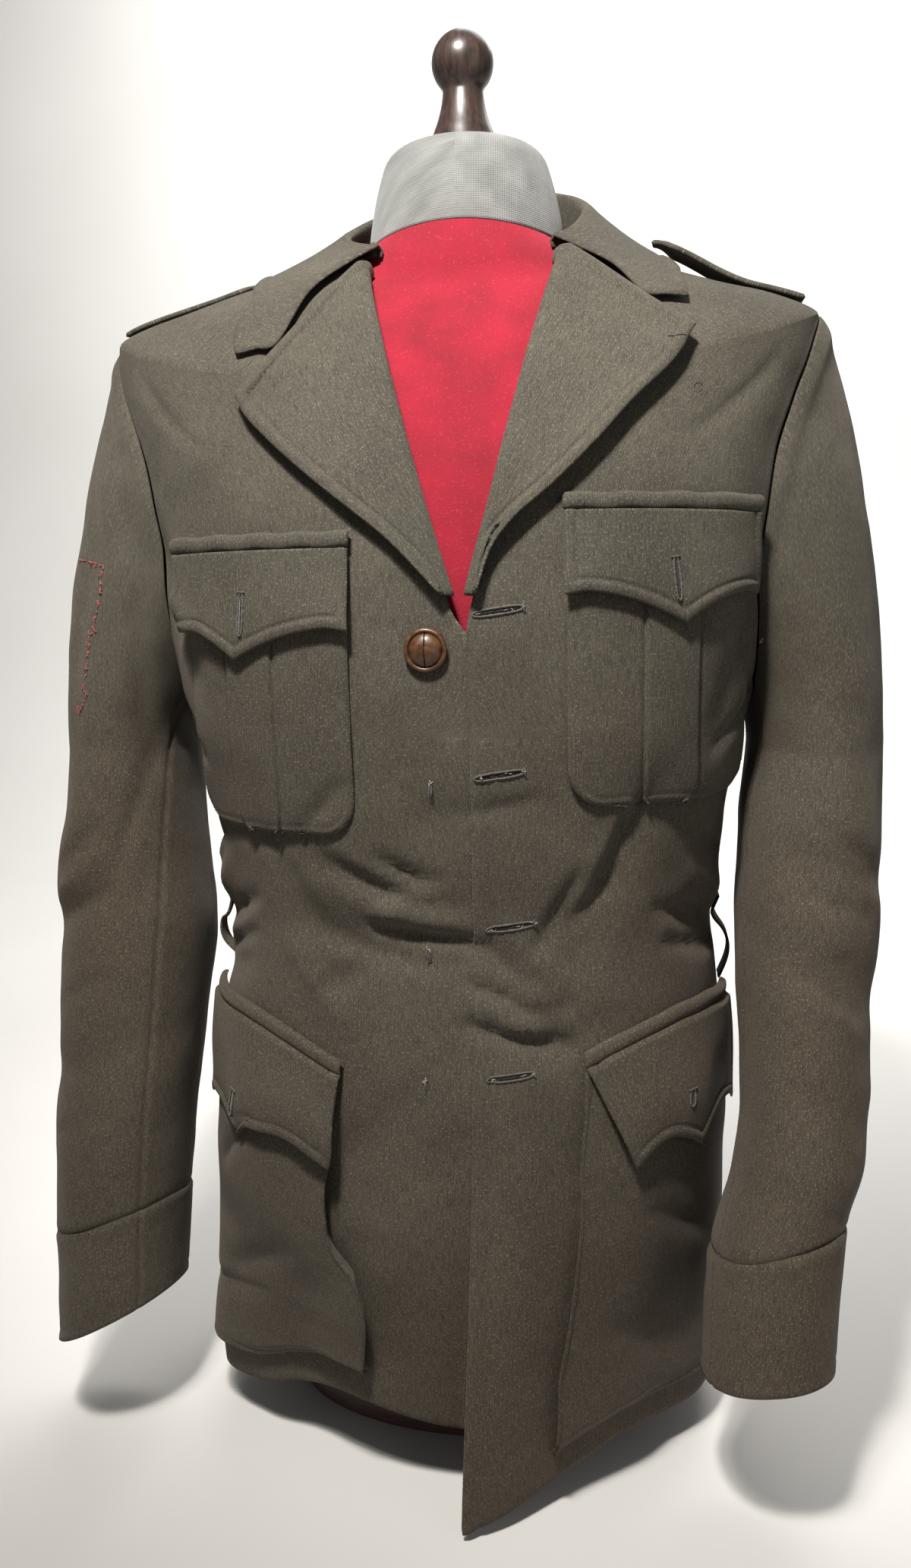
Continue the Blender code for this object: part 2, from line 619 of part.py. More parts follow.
def collar_grid():
    """The collar: up the fall from its edge, over the roll, and down the stand inside."""
    gorge = COLLAR_STATIONS[0][0]
    turn = np.linspace(gorge, 360.0 - RIGHT_GORGE, COLLAR_COLUMNS)
    on_left = turn <= 180.0
    half = np.where(on_left, turn, gorge + (360.0 - turn - RIGHT_GORGE) * (180.0 - gorge) / (180.0 - RIGHT_GORGE))
    column = {name: smooth([row[0] for row in COLLAR_STATIONS], [row[k] for row in COLLAR_STATIONS], half)
              for k, name in enumerate(("angle", "stand_left", "stand_right", "lean"))}
    stand = np.where(on_left, column["stand_left"], column["stand_right"])
    edge_angle_of, edge_height_of, notch_angle, notch_height = [], [], [], []
    for side, angle_column in (("left", 4), ("right", 5)):
        tip_angle, tip_height = seat(*COLLAR_TIPS[side])
        low_angle, low_height = seat(*COLLAR_NOTCHES[side])
        knots = [row[0] for row in COLLAR_STATIONS]
        angles = [abs(math.degrees(tip_angle))] + [row[angle_column] for row in COLLAR_STATIONS[1:]]
        heights = [float(tip_height)] + [row[6] for row in COLLAR_STATIONS[1:]]
        edge_angle_of.append(smooth(knots, angles, half))
        edge_height_of.append(smooth(knots, heights, half))
        notch_angle.append(abs(math.degrees(low_angle)))
        notch_height.append(float(low_height))
    pick = np.where(on_left, 0, 1)
    place = np.arange(len(turn))
    edge_turn = np.array(edge_angle_of)[pick, place]
    edge_height = np.array(edge_height_of)[pick, place]
    base_turn = np.where(on_left, turn, 360.0 - turn)
    near_end = 1 - ease(half, gorge, gorge + 12.0)
    rows = []
    for v in COLLAR_FALL:
        kink = 1 - abs(v - 0.6) / (0.4 if v > 0.6 else 0.6)
        straight_turn = base_turn + (edge_turn - base_turn) * v
        straight_height = NECKLINE + (edge_height - NECKLINE) * v
        kinked_turn = straight_turn + near_end * kink * (
            np.array(notch_angle)[pick] - (base_turn + (edge_turn - base_turn) * 0.6))
        kinked_height = straight_height + near_end * kink * (
            np.array(notch_height)[pick] - (NECKLINE + (edge_height - NECKLINE) * 0.6))
        signed = np.radians(np.where(on_left, kinked_turn, 360.0 - kinked_turn))
        points = lie(signed, kinked_height, COLLAR_OUT - 0.001 * v + 0 * signed)
        rise = (1 - v) ** 1.15 * stand
        rows.append(raise_and_lean(points, signed, rise, column["lean"] * (1 - v)))
    roll = rows[-1]
    signed = np.radians(turn)
    rows.append(raise_and_lean(roll, signed, 0.0016 + 0 * stand, 0.0030 + 0 * stand))
    rows.append(raise_and_lean(roll, signed, -0.0008 + 0 * stand, 0.0062 + 0 * stand))
    base = body(signed, NECKLINE + 0 * signed)
    foot = raise_and_lean(base, signed, 0.0014 + 0 * stand, 0.0035 + 0 * stand)
    rows.append((rows[-1] + foot) / 2)
    rows.append(foot)
    return np.stack(rows)


def raise_and_lean(points, angle, rise, lean):
    """Points moved up, and in towards the neck."""
    return points + np.stack([-np.sin(angle) * lean, np.cos(angle) * lean, rise + 0 * angle], axis=-1)


def shoulder_place(side, x, y):
    """The angle and height of the shoulder's top at x and y."""
    heights = np.linspace(SHOULDER_TIP, NECKLINE, 60)
    sizes = ring_sizes(heights)
    reach = sizes["middle_x"] + SIGN[side] * sizes["half_width"]
    height = np.interp(SIGN[side] * x, (SIGN[side] * reach)[::-1], heights[::-1])
    ring = ring_sizes(height)
    depth = np.where(y < 0, ring["front"], ring["back"])
    cosine = (np.abs(y) / depth) ** (1 / ring["square"])
    tilt = np.where(y < 0, np.arccos(cosine), math.pi - np.arccos(cosine))
    return tilt * SIGN[side], height


def strap_grid(side):
    """The shoulder strap: sewn in at the sleeve, with a lifted, pointed inner end."""
    share = np.array([0.0, 0.12, 0.25, 0.40, 0.55, 0.68, 0.80, 0.90, 1.0])[:, None]
    across = np.linspace(-1.0, 1.0, 5)[None, :]
    outer, inner, lift = STRAPS[side]
    wide = STRAP_HALF * (1 - 0.12 * share) * (1 - 0.72 * ease(share, 0.84, 1.0))
    x = SIGN[side] * (outer + (inner - outer) * share) + 0 * across
    y = STRAP_Y + wide * across
    angle, height = shoulder_place(side, x, y)
    out = 0.0036 + lift * ease(share, 0.30, 0.95) + 0 * across
    points = body(angle, height)
    points[..., 2] += out
    return handed(points, side)


def across_front(side, inner, outer, columns):
    """Shares and x of a row of columns on one front, with narrow end strips."""
    share = np.linspace(0.0, 1.0, columns)[None, :]
    return share, inner + (outer - inner) * share


def welt_grid(side):
    inner, outer, middle, *_rest = CHEST_POCKETS[side]
    _share, x = across_front(side, inner, outer, 9)
    up = np.array([-1.0, -0.4, 0.5, 1.0])[:, None]
    out = np.array([0.0062, 0.0070, 0.0066, 0.0040])[:, None]
    return handed(lie_on_front(side, x + 0 * up, middle + WELT_HALF * up + 0 * x, out + 0 * x), side)


def chest_flap_grid(side):
    """The flap hangs from under the welt; its lower edge runs in two hollows to a middle point."""
    inner, outer, welt, point, _pleat = CHEST_POCKETS[side]
    top = welt - WELT_HALF - 0.0007
    middle = (point - inner) / (outer - inner)
    share = np.array([0, 0.14, 0.28, middle - 0.10, middle, middle + 0.10, 0.80, 0.9, 1.0])[None, :]
    x = inner + (outer - inner) * share
    away = np.where(share < middle, (middle - share) / middle, (share - middle) / (1 - middle))
    low = top - FLAP_DROP - FLAP_POINT * (1 - away) ** 2.2
    down = np.linspace(1.0, 0.0, 6)[:, None]
    out = 0.0072 + 0.0016 * ease(down, 0.3, 1.0) - 0.0010 * away ** 2
    return handed(lie_on_front(side, x + 0 * down, top + (low - top) * down, out + 0 * x), side)


def chest_pocket_grid(side):
    """A patch with round lower corners and a raised box pleat down its middle."""
    inner, outer, welt, _point, pleat_x = CHEST_POCKETS[side]
    top, bottom = welt - 0.016, welt - POCKET_DROP
    inset = POCKET_INSET * SIGN[side]
    inner, outer = inner + inset, outer - inset
    half, middle = abs(outer - inner) / 2, (inner + outer) / 2
    pleat = (pleat_x - middle) * SIGN[side]
    across = np.array([-half, -half * 0.8, -half * 0.5, pleat - PLEAT_HALF - 0.0012, pleat - PLEAT_HALF,
                       pleat, pleat + PLEAT_HALF, pleat + PLEAT_HALF + 0.0012, half * 0.85, half])[None, :]
    z = np.array([bottom, bottom + 0.006, bottom + POCKET_CORNER, bottom + 0.045,
                  bottom + 0.075, bottom + 0.105, top])[:, None]
    drop = np.clip(bottom + POCKET_CORNER - z, 0.0, POCKET_CORNER)
    corner = POCKET_CORNER - np.sqrt(POCKET_CORNER ** 2 - drop ** 2)
    squeeze = 1 - 0.92 * corner / half
    raised = (np.abs(across - pleat) < PLEAT_HALF + 0.0003) * PLEAT_RAISE
    x = middle + across * squeeze * SIGN[side]
    out = POCKET_OUT + 0.0016 * ease(np.abs(x), 0.115, 0.150) * ease(bottom + 0.045 - z, 0.0, 0.040)
    return handed(lie_on_front(side, x, z + 0 * across, out + raised), side)


def lower_top(side, angle):
    """Height of the lower pocket's top line at an angle."""
    table = LOWER_TOPS[side]
    return smooth([row[0] for row in table], [row[1] for row in table], np.degrees(np.abs(angle)))


def lower_pocket_lines(side, up):
    """Inner angle of the bellows pocket at these shares of its height."""
    bottom = LOWER_POCKETS[side][1]
    x = smooth([row[0] for row in LOWER_LINES[side]], [row[1] for row in LOWER_LINES[side]], up)
    return angle_at(x, bottom + (LOWER_TOPS[side][0][1] - bottom) * up)


def lower_across(side, share):
    """Angles across the lower pocket's top at these shares of its width."""
    start = lower_pocket_lines(side, np.array(1.0))
    return start + (math.radians(LOWER_POCKETS[side][0]) - start) * share


def lower_pocket_grid(side):
    """A bellows patch that wraps to the side, open above under its flap."""
    outer, bottom, *_flap = LOWER_POCKETS[side]
    up = np.array([0.0, 0.05, 0.2, 0.40, 0.50, 0.65, 0.80, 0.95])[:, None]
    share = np.array([0.03, 0.0, 0.12, 0.3, 0.5, 0.7, 0.9, 1.0])[None, :]
    inner = lower_pocket_lines(side, up)
    angle = inner + (math.radians(outer) - inner) * share
    height = bottom + (lower_top(side, lower_across(side, share)) - bottom) * up
    stand = np.array([0.0, 1.0, 1.0, 0.85, 0.45, 0.12, 0.0, 0.0])[None, :]
    foot = np.array([0.0, 1.0, 1.0, 1.0, 1.0, 0.9, 0.6, 0.1])[:, None]
    out = LOWER_SEAT[side] + BELLOWS * stand * foot + LOWER_FOOT[side] * share * (1 - ease(up, 0.0, 0.2))
    return handed(hang_hem(lie(angle, height, out), side), side)


def lower_flap_grid(side):
    """The flap over the bellows pocket: two arches with a point between, its inner corner flipped out."""
    corner, point = LOWER_POCKETS[side][2:]
    share = np.array([0.0, 0.12, 0.26, 0.40, 0.5, 0.60, 0.74, 0.88, 1.0])[None, :]
    down = np.linspace(1.0, 0.0, 6)[:, None]
    top = lower_across(side, share)
    swing = np.radians(smooth([0.0, 0.5, 1.0], FLAP_SWING[side], share)) * SIGN[side]
    in_half = 1 - np.abs(share - 0.5) * 2
    high = lower_top(side, top) - 0.0051
    low = corner + (point - corner) * in_half + FLAP_ARCH * 4 * in_half * (1 - in_half)
    angle = top + swing * down
    height = high + (low - high) * down
    close = 1 - ease(share, 0.35, 0.75)
    out = 0.0074 + (0.0090 * ease(down, 0.0, 0.8)) * close
    return handed(lie(angle, height, out), side)


def lower_welt_grid(side):
    up = np.array([-1.0, -0.4, 0.5, 1.0])[:, None]
    angle = lower_across(side, np.linspace(0.0, 1.0, 9)[None, :])
    out = WELT_SEAT + np.array([0.0021, 0.0029, 0.0023, -0.0002])[:, None]
    height = lower_top(side, angle) + 0.0045 * up
    return handed(lie(angle + 0 * up, height, out + 0 * angle), side)


def belt_loop_grid(side):
    """A narrow loop at the side seam, for the belt that goes with the jacket."""
    middle, top, bottom, bow = BELT_LOOPS[side]
    share = np.linspace(0.0, 1.0, 7)[:, None]
    width = np.radians(np.array([-2.2, 0.0, 2.2]))[None, :]
    height = bottom + (top - bottom) * share + 0 * width
    out = 0.0021 + bow * np.sin(math.pi * np.clip(1.25 * share, 0.0, 1.0)) + 0 * width
    return lie(math.radians(middle) + width + 0 * share, height, out)


def handed(grid, side):
    """Columns run the other way on the wearer's right, so that faces still point out."""
    return grid if side == "left" else grid[:, ::-1]


def clear_scene():
    for thing in list(bpy.data.objects):
        bpy.data.objects.remove(thing, do_unlink=True)
    group = bpy.data.collections.new(COLLECTION)
    bpy.context.scene.collection.children.link(group)
    return group


def finish_for(name, colour, roughness, metallic=0.0):
    material = bpy.data.materials.new(name)
    material.use_nodes = True
    shader = material.node_tree.nodes["Principled BSDF"]
    shader.inputs["Base Color"].default_value = (*colour, 1.0)
    shader.inputs["Roughness"].default_value = roughness
    shader.inputs["Metallic"].default_value = metallic
    return material


def add_mesh(group, name, points, faces, material):
    mesh = bpy.data.meshes.new(name)
    mesh.from_pydata([tuple(p) for p in points], [], faces)
    mesh.validate()
    mesh.shade_smooth()
    thing = bpy.data.objects.new(name, mesh)
    thing.data.materials.append(material)
    group.objects.link(thing)
    return thing


def grid_faces(rows, columns, closed):
    faces = []
    for i in range(rows - 1):
        for j in range(columns if closed else columns - 1):
            k = (j + 1) % columns
            faces.append((i * columns + j, i * columns + k, (i + 1) * columns + k, (i + 1) * columns + j))
    return faces


def sheet(group, name, grid, material, wall=CLOTH, closed=False):
    """A cloth wall: its outer surface is the grid, and the wall goes inwards."""
    rows, columns = grid.shape[:2]
    thing = add_mesh(group, name, grid.reshape(-1, 3), grid_faces(rows, columns, closed), material)
    solid = thing.modifiers.new("wall", "SOLIDIFY")
    solid.thickness = wall
    solid.offset = -1.0
    solid.use_even_offset = True
    solid.use_quality_normals = True
    return thing


def solid_of_rings(group, name, rings, material):
    """A closed solid through rings of points, bottom first, with flat ends."""
    rows, columns = len(rings), len(rings[0])
    faces = grid_faces(rows, columns, closed=True)
    faces.append(tuple(reversed(range(columns))))
    faces.append(tuple((rows - 1) * columns + j for j in range(columns)))
    return add_mesh(group, name, np.concatenate(rings), faces, material)


def tilted_ellipse(x, z, half_width, half_depth, slope):
    """A ring of the form's neck; slope raises its back."""
    turn = np.arange(FORM_COLUMNS) * 2 * math.pi / FORM_COLUMNS
    dy = -half_depth * np.cos(turn)
    return np.stack([x + half_width * np.sin(turn), dy, z + slope * dy], axis=-1)


def form_torso_rings():
    """The form: a flat oval foot, then the jacket's own rings moved inwards."""
    rings = [tilted_ellipse(0.0, *row, 0.0) for row in FORM_FOOT]
    turn = np.arange(FORM_COLUMNS) * 2 * math.pi / FORM_COLUMNS
    for height, clear, clear_front in FORM_RINGS:
        inside = clear + (clear_front - clear) * ease(np.cos(turn), 0.05, 0.45)
        level = height + 0 * turn
        normal = outward(plain_body, turn, level)
        rings.append(plain_body(turn, level) - normal * inside[:, None])
    rings.append(tilted_ellipse(NECK_X, NECK_JOINT, 0.060, 0.056, NECK_SLOPE))
    return rings


def make_form(group):
    felt = finish_for("red felt", (0.42, 0.012, 0.022), 0.95)
    jersey = finish_for("grey jersey", (0.115, 0.115, 0.115), 0.9)
    wood = finish_for("dark turned wood", (0.030, 0.020, 0.018), 0.35)
    solid_of_rings(group, "form_torso", form_torso_rings(), felt)
    neck = [tilted_ellipse(NECK_X, z + GAP, wide, deep, slope) for z, wide, deep, slope in FORM_NECK]
    solid_of_rings(group, "form_neck", neck, jersey)
    profile = [(r, z) for r, z in KNOB_FOOT]
    for step in range(KNOB_STEPS + 1):
        turn = math.pi * (1 - KNOB_START) * (1 - step / KNOB_STEPS)
        profile.append((KNOB_RADIUS * math.sin(turn), KNOB_Z + KNOB_RADIUS * math.cos(turn)))
    profile[-1] = (0.0, KNOB_Z + KNOB_RADIUS)
    turned(group, "neck_knob", profile[::-1], (NECK_X - 0.001, 0.0, 0.0), wood, 20)


def turned(group, name, profile, place, material, steps):
    """A turned piece: a profile of radii and heights, top to bottom, spun with Screw."""
    mesh = bpy.data.meshes.new(name)
    mesh.from_pydata([(r, 0.0, z) for r, z in profile], [(k, k + 1) for k in range(len(profile) - 1)], [])
    thing = bpy.data.objects.new(name, mesh)
    thing.data.materials.append(material)
    thing.location = place
    group.objects.link(thing)
    screw = thing.modifiers.new("spin", "SCREW")
    screw.steps = screw.render_steps = steps
    screw.use_merge_vertices = True
    screw.merge_threshold = 0.0001
    return thing


def make_button(group):
    leather = finish_for("woven leather", (0.14, 0.060, 0.022), 0.45)
    angle, height = seat(BUTTON["x"], BUTTON["z"])
    place = lie(angle, height, 0.0004)
    normal = Vector(outward(body, angle, height))
    profile = [(BUTTON["radius"] * r, BUTTON["height"] * z) for r, z in BUTTON_PROFILE]
    button = turned(group, "button", profile, Vector(place), leather, 16)
    button.rotation_mode = "QUATERNION"
    button.rotation_quaternion = normal.to_track_quat("Z", "Y")


def make_jacket(group):
    cloth = finish_for("wool gabardine", (0.060, 0.052, 0.042), 0.9)
    sheet(group, "back", back_grid(), cloth)
    sheet(group, "collar", collar_grid(), cloth, TRIM)
    for side in SIGN:
        sheet(group, f"front_{side}", front_grid(side), cloth)
        sheet(group, f"sleeve_{side}", sleeve_grid(side), cloth, closed=True)
        sheet(group, f"cuff_{side}", cuff_grid(side), cloth, closed=True)
        sheet(group, f"lapel_{side}", lapel_grid(side), cloth, TRIM)
        sheet(group, f"shoulder_strap_{side}", strap_grid(side), cloth, STRAP_WALL)
        sheet(group, f"chest_pocket_{side}", chest_pocket_grid(side), cloth, TRIM)
        sheet(group, f"chest_flap_{side}", chest_flap_grid(side), cloth, TRIM)
        sheet(group, f"chest_welt_{side}", welt_grid(side), cloth, WELT_WALL)
        sheet(group, f"lower_pocket_{side}", lower_pocket_grid(side), cloth, TRIM)
        sheet(group, f"lower_flap_{side}", lower_flap_grid(side), cloth, TRIM)
        sheet(group, f"lower_welt_{side}", lower_welt_grid(side), cloth, WELT_WALL)
        sheet(group, f"belt_loop_{side}", belt_loop_grid(side), cloth, TRIM)
    make_button(group)


def build():
    group = clear_scene()
    make_jacket(group)
    make_form(group)


build()
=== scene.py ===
"""The uniform jacket and its dress form as they look: cloth, seams, creases, holes and threads.

Lengths are in metres and +Z is up. The jacket faces -Y and the wearer's left is at +X.
The body of the jacket is worked out from level rings: an angle goes round it, 0 at the centre front
and 90 degrees at the wearer's left side, and a height names the ring by its place at the side seam.
"""

import json
import math

import bpy
import numpy as np
from mathutils import Matrix, Vector

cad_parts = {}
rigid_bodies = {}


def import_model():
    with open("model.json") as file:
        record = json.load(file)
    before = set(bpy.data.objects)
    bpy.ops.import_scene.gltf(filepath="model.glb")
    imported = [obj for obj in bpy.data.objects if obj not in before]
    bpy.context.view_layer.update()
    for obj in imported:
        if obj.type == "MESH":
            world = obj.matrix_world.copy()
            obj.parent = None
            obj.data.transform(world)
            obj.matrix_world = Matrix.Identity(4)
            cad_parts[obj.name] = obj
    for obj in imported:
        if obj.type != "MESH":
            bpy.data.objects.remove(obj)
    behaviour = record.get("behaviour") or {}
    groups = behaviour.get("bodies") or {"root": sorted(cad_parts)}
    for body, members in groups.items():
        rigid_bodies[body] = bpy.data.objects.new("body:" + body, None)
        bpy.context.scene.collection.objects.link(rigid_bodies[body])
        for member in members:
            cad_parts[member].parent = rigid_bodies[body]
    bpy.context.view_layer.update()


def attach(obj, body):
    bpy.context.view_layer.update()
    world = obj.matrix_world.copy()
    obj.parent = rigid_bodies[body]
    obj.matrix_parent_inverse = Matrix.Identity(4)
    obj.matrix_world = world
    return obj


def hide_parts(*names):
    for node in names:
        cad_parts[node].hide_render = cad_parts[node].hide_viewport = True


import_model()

CLOTH = 0.0018
TRIM = 0.0015
GAP = 0.0003
HEM_HEIGHT = 0.030
CROWDING = 0.09
EDGE_BULGE = 0.45
SEAT_ROUNDS = 30
ROLL_ROUNDS = 8
SIGN = {"right": -1.0, "left": 1.0}

ARMHOLE_STEPS = 96
LOWER_ROWS = 110
SHOULDER_ROWS = 22
FRONT_COLUMNS = 76
BACK_COLUMNS = 120
UNDERARM = 0.462
SHOULDER_TIP = 0.687
NECKLINE = 0.730
SIDE_SEAM = math.radians(97)
ARMHOLE_HALF_ANGLE = math.radians(31)

RINGS = [
    # name, z_side, z_front, z_back, middle_x, half_width, front, back, square
    ("hem", 0.030, 0.030, 0.030, -0.003, 0.164, 0.121, 0.122, 0.98),
    ("skirt", 0.100, 0.100, 0.100, -0.002, 0.164, 0.127, 0.125, 0.94),
    ("hip", 0.180, 0.180, 0.180, 0.000, 0.163, 0.131, 0.124, 0.89),
    ("seat", 0.255, 0.255, 0.255, 0.002, 0.160, 0.129, 0.118, 0.85),
    ("waist", 0.335, 0.335, 0.335, 0.003, 0.1535, 0.123, 0.106, 0.83),
    ("rib", 0.400, 0.400, 0.400, 0.004, 0.158, 0.130, 0.112, 0.82),
    ("underarm", 0.462, 0.458, 0.462, 0.004, 0.171, 0.135, 0.120, 0.80),
    ("chest", 0.530, 0.520, 0.535, 0.004, 0.183, 0.137, 0.125, 0.80),
    ("armhole", 0.600, 0.583, 0.612, 0.004, 0.194, 0.130, 0.123, 0.80),
    ("shoulder tip", 0.687, 0.645, 0.690, 0.003, 0.208, 0.108, 0.104, 0.80),
    ("shoulder middle", 0.710, 0.693, 0.721, 0.004, 0.143, 0.078, 0.084, 0.86),
    ("neckline", 0.730, 0.718, 0.742, 0.006, 0.075, 0.057, 0.068, 1.00),
]
RING_NAMES = ("z_side", "z_front", "z_back", "middle_x", "half_width", "front", "back", "square")

FRONT_EDGES = [
    # height, x of the wearer's left edge, x of the wearer's right edge
    (0.030, 0.012, 0.016),
    (0.180, 0.018, 0.022),
    (0.370, 0.021, 0.025),
    (0.505, 0.022, 0.024),
]
ROLL_INSET = 0.001

RIGHT_HEM_LIFT = [
    # x, lift
    (-0.170, 0.000),
    (-0.130, 0.006),
    (-0.098, 0.018),
    (-0.063, 0.026),
    (0.000, 0.017),
    (0.030, 0.015),
]

FOLDS = [
    # name, angle, height, end angle, end height, width, depth
    ("waist crease left of the opening", -2, 0.372, -24, 0.392, 0.011, -0.0035),
    ("second waist crease", 0, 0.338, -26, 0.352, 0.012, -0.0035),
    ("bulge under the third hole", 16, 0.318, 14, 0.296, 0.016, 0.0040),
    ("hollow under the bulge", 12, 0.286, 27, 0.292, 0.014, -0.0040),
    ("long diagonal to the waist", 38, 0.420, 26, 0.345, 0.016, -0.0040),
    ("right side waist ridge", -62, 0.372, -84, 0.345, 0.010, 0.0035),
    ("right side waist trough", -58, 0.350, -86, 0.326, 0.010, -0.0040),
    ("right side hip trough", -52, 0.318, -84, 0.300, 0.012, -0.0035),
    ("left side waist ridge", 60, 0.372, 85, 0.352, 0.010, 0.0035),
    ("left side waist trough", 58, 0.346, 86, 0.330, 0.010, -0.0040),
    ("right hem hollow", -36, 0.020, -30, 0.110, 0.035, -0.0130),
    ("right hem bulge", -66, 0.020, -62, 0.090, 0.024, 0.0060),
    ("left hem hollow", 52, 0.020, 48, 0.100, 0.030, -0.0060),
    ("back waist crease", 150, 0.352, 205, 0.338, 0.013, -0.0040),
    ("back waist ridge", 142, 0.378, 190, 0.372, 0.014, 0.0030),
    ("back right skirt flute", 214, 0.030, 208, 0.250, 0.024, 0.0070),
    ("back left skirt flute", 146, 0.030, 152, 0.240, 0.024, 0.0070),
    ("back middle hollow", 181, 0.030, 180, 0.220, 0.030, -0.0060),
    ("blade fold right", 238, 0.520, 232, 0.430, 0.014, 0.0040),
    ("blade fold left", 122, 0.525, 128, 0.430, 0.014, 0.0040),
]
CREASES = [
    # name, angle, height, end angle, end height, width, depth
    ("nip above the second hole", 3, 0.418, 12, 0.424, 0.0050, -0.0011),
    ("crease across the waist", -4, 0.366, -20, 0.383, 0.0050, -0.0019),
    ("its upper lip", -6, 0.377, -17, 0.393, 0.0045, 0.0015),
    ("slant towards the edge", -10, 0.356, -1, 0.372, 0.0045, 0.0016),
    ("sharp crease across the third hole's level", 3.0, 0.343, -10.5, 0.350, 0.0042, -0.0034),
    ("roll above the sharp crease", 1.0, 0.353, -9.0, 0.360, 0.0050, 0.0020),
    ("short crease above it", -2.5, 0.378, -8.0, 0.388, 0.0036, -0.0024),
    ("crease under the third hole", 5.0, 0.318, 12.0, 0.309, 0.0040, -0.0026),
    ("lip under the third hole", 8.0, 0.302, 16.0, 0.291, 0.0050, 0.0026),
    ("hollow under the lip", 5.0, 0.294, 21.0, 0.284, 0.0050, -0.0030),
    ("diagonal by the pocket", 23.0, 0.377, 16.5, 0.345, 0.0048, -0.0022),
    ("crease under the threads", -3, 0.330, -24, 0.345, 0.0055, -0.0017),
    ("soft dent under it", -14, 0.326, -22, 0.312, 0.0075, -0.0018),
    ("rib above the pocket", -30, 0.330, -20, 0.300, 0.0070, 0.0016),
    ("dent right of the waist", -34, 0.392, -28, 0.360, 0.0090, -0.0018),
    ("pull from the pocket corner", -24, 0.408, -16, 0.430, 0.0060, -0.0013),
    ("pleat below the third hole", 7, 0.338, 12, 0.322, 0.0045, -0.0018),
    ("ridge below the third hole", 12, 0.345, 19, 0.322, 0.0050, 0.0017),
    ("shadow under the bulge", 6, 0.300, 20, 0.306, 0.0055, -0.0018),
    ("slant above the fourth hole", 20, 0.306, 25, 0.283, 0.0060, 0.0016),
    ("diagonal from the pocket", 36, 0.416, 30, 0.378, 0.0060, -0.0019),
    ("diagonal below it", 32, 0.378, 22, 0.352, 0.0060, -0.0015),
    ("ridge beside the diagonal", 32, 0.414, 25, 0.372, 0.0065, 0.0014),
    ("left waist crease", 46, 0.356, 68, 0.346, 0.0050, -0.0018),
    ("left waist crease below", 50, 0.334, 78, 0.322, 0.0045, -0.0017),
    ("left side nip", 62, 0.392, 80, 0.380, 0.0045, -0.0015),
    ("right waist crease", -46, 0.358, -66, 0.340, 0.0050, -0.0018),
    ("right waist crease below", -48, 0.336, -74, 0.316, 0.0045, -0.0018),
    ("right side nip", -60, 0.398, -78, 0.378, 0.0045, -0.0015),
    ("right side lip", -64, 0.388, -80, 0.366, 0.0045, 0.0014),
    ("soft dent on the skirt", 20, 0.230, 30, 0.190, 0.0150, -0.0016),
    ("skirt ridge", 12, 0.250, 15, 0.120, 0.0160, 0.0012),
    ("skirt dent near the hem", 14, 0.120, 24, 0.080, 0.0140, -0.0014),
    ("right skirt dent", -6, 0.250, -22, 0.205, 0.0130, -0.0015),
    ("right skirt ridge", -4, 0.190, -16, 0.110, 0.0140, 0.0012),
    ("right pocket crease", -40, 0.230, -58, 0.190, 0.0060, -0.0014),
    ("right pocket dent", -34, 0.150, -52, 0.120, 0.0100, -0.0018),
    ("right pocket foot crease", -44, 0.110, -70, 0.095, 0.0055, -0.0017),
    ("left pocket crease", 44, 0.180, 66, 0.150, 0.0080, -0.0014),
    ("left pocket dent", 36, 0.110, 52, 0.085, 0.0100, -0.0014),
    ("chest hollow by the sleeve", -52, 0.500, -60, 0.560, 0.0130, -0.0016),
    ("chest pull to the armhole", -44, 0.520, -54, 0.548, 0.0060, 0.0010),
    ("left chest hollow", 56, 0.470, 62, 0.540, 0.0130, -0.0016),
    ("left underarm pull", 58, 0.452, 74, 0.476, 0.0060, -0.0014),
    ("right underarm pull", -58, 0.446, -74, 0.470, 0.0060, -0.0014),
    ("shoulder ripple", -40, 0.640, -52, 0.668, 0.0070, -0.0008),
    ("left shoulder ripple", 40, 0.640, 54, 0.668, 0.0070, -0.0008),
    ("back waist crease above", 140, 0.364, 176, 0.356, 0.0055, -0.0018),
    ("back waist crease right", 192, 0.350, 228, 0.336, 0.0055, -0.0018),
    ("back waist lip", 160, 0.346, 198, 0.332, 0.0050, 0.0014),
    ("back slant left", 124, 0.402, 146, 0.372, 0.0060, -0.0016),
    ("back slant right", 236, 0.398, 214, 0.368, 0.0060, -0.0016),
    ("back seat dent", 168, 0.290, 186, 0.262, 0.0140, -0.0015),
    ("back blade crease left", 118, 0.486, 132, 0.452, 0.0060, -0.0014),
    ("back blade crease right", 242, 0.480, 228, 0.446, 0.0060, -0.0014),
    ("back neck dent", 172, 0.690, 190, 0.684, 0.0100, -0.0012),
]
CREASE_STRENGTH = 1.85
RADIUS = 0.150

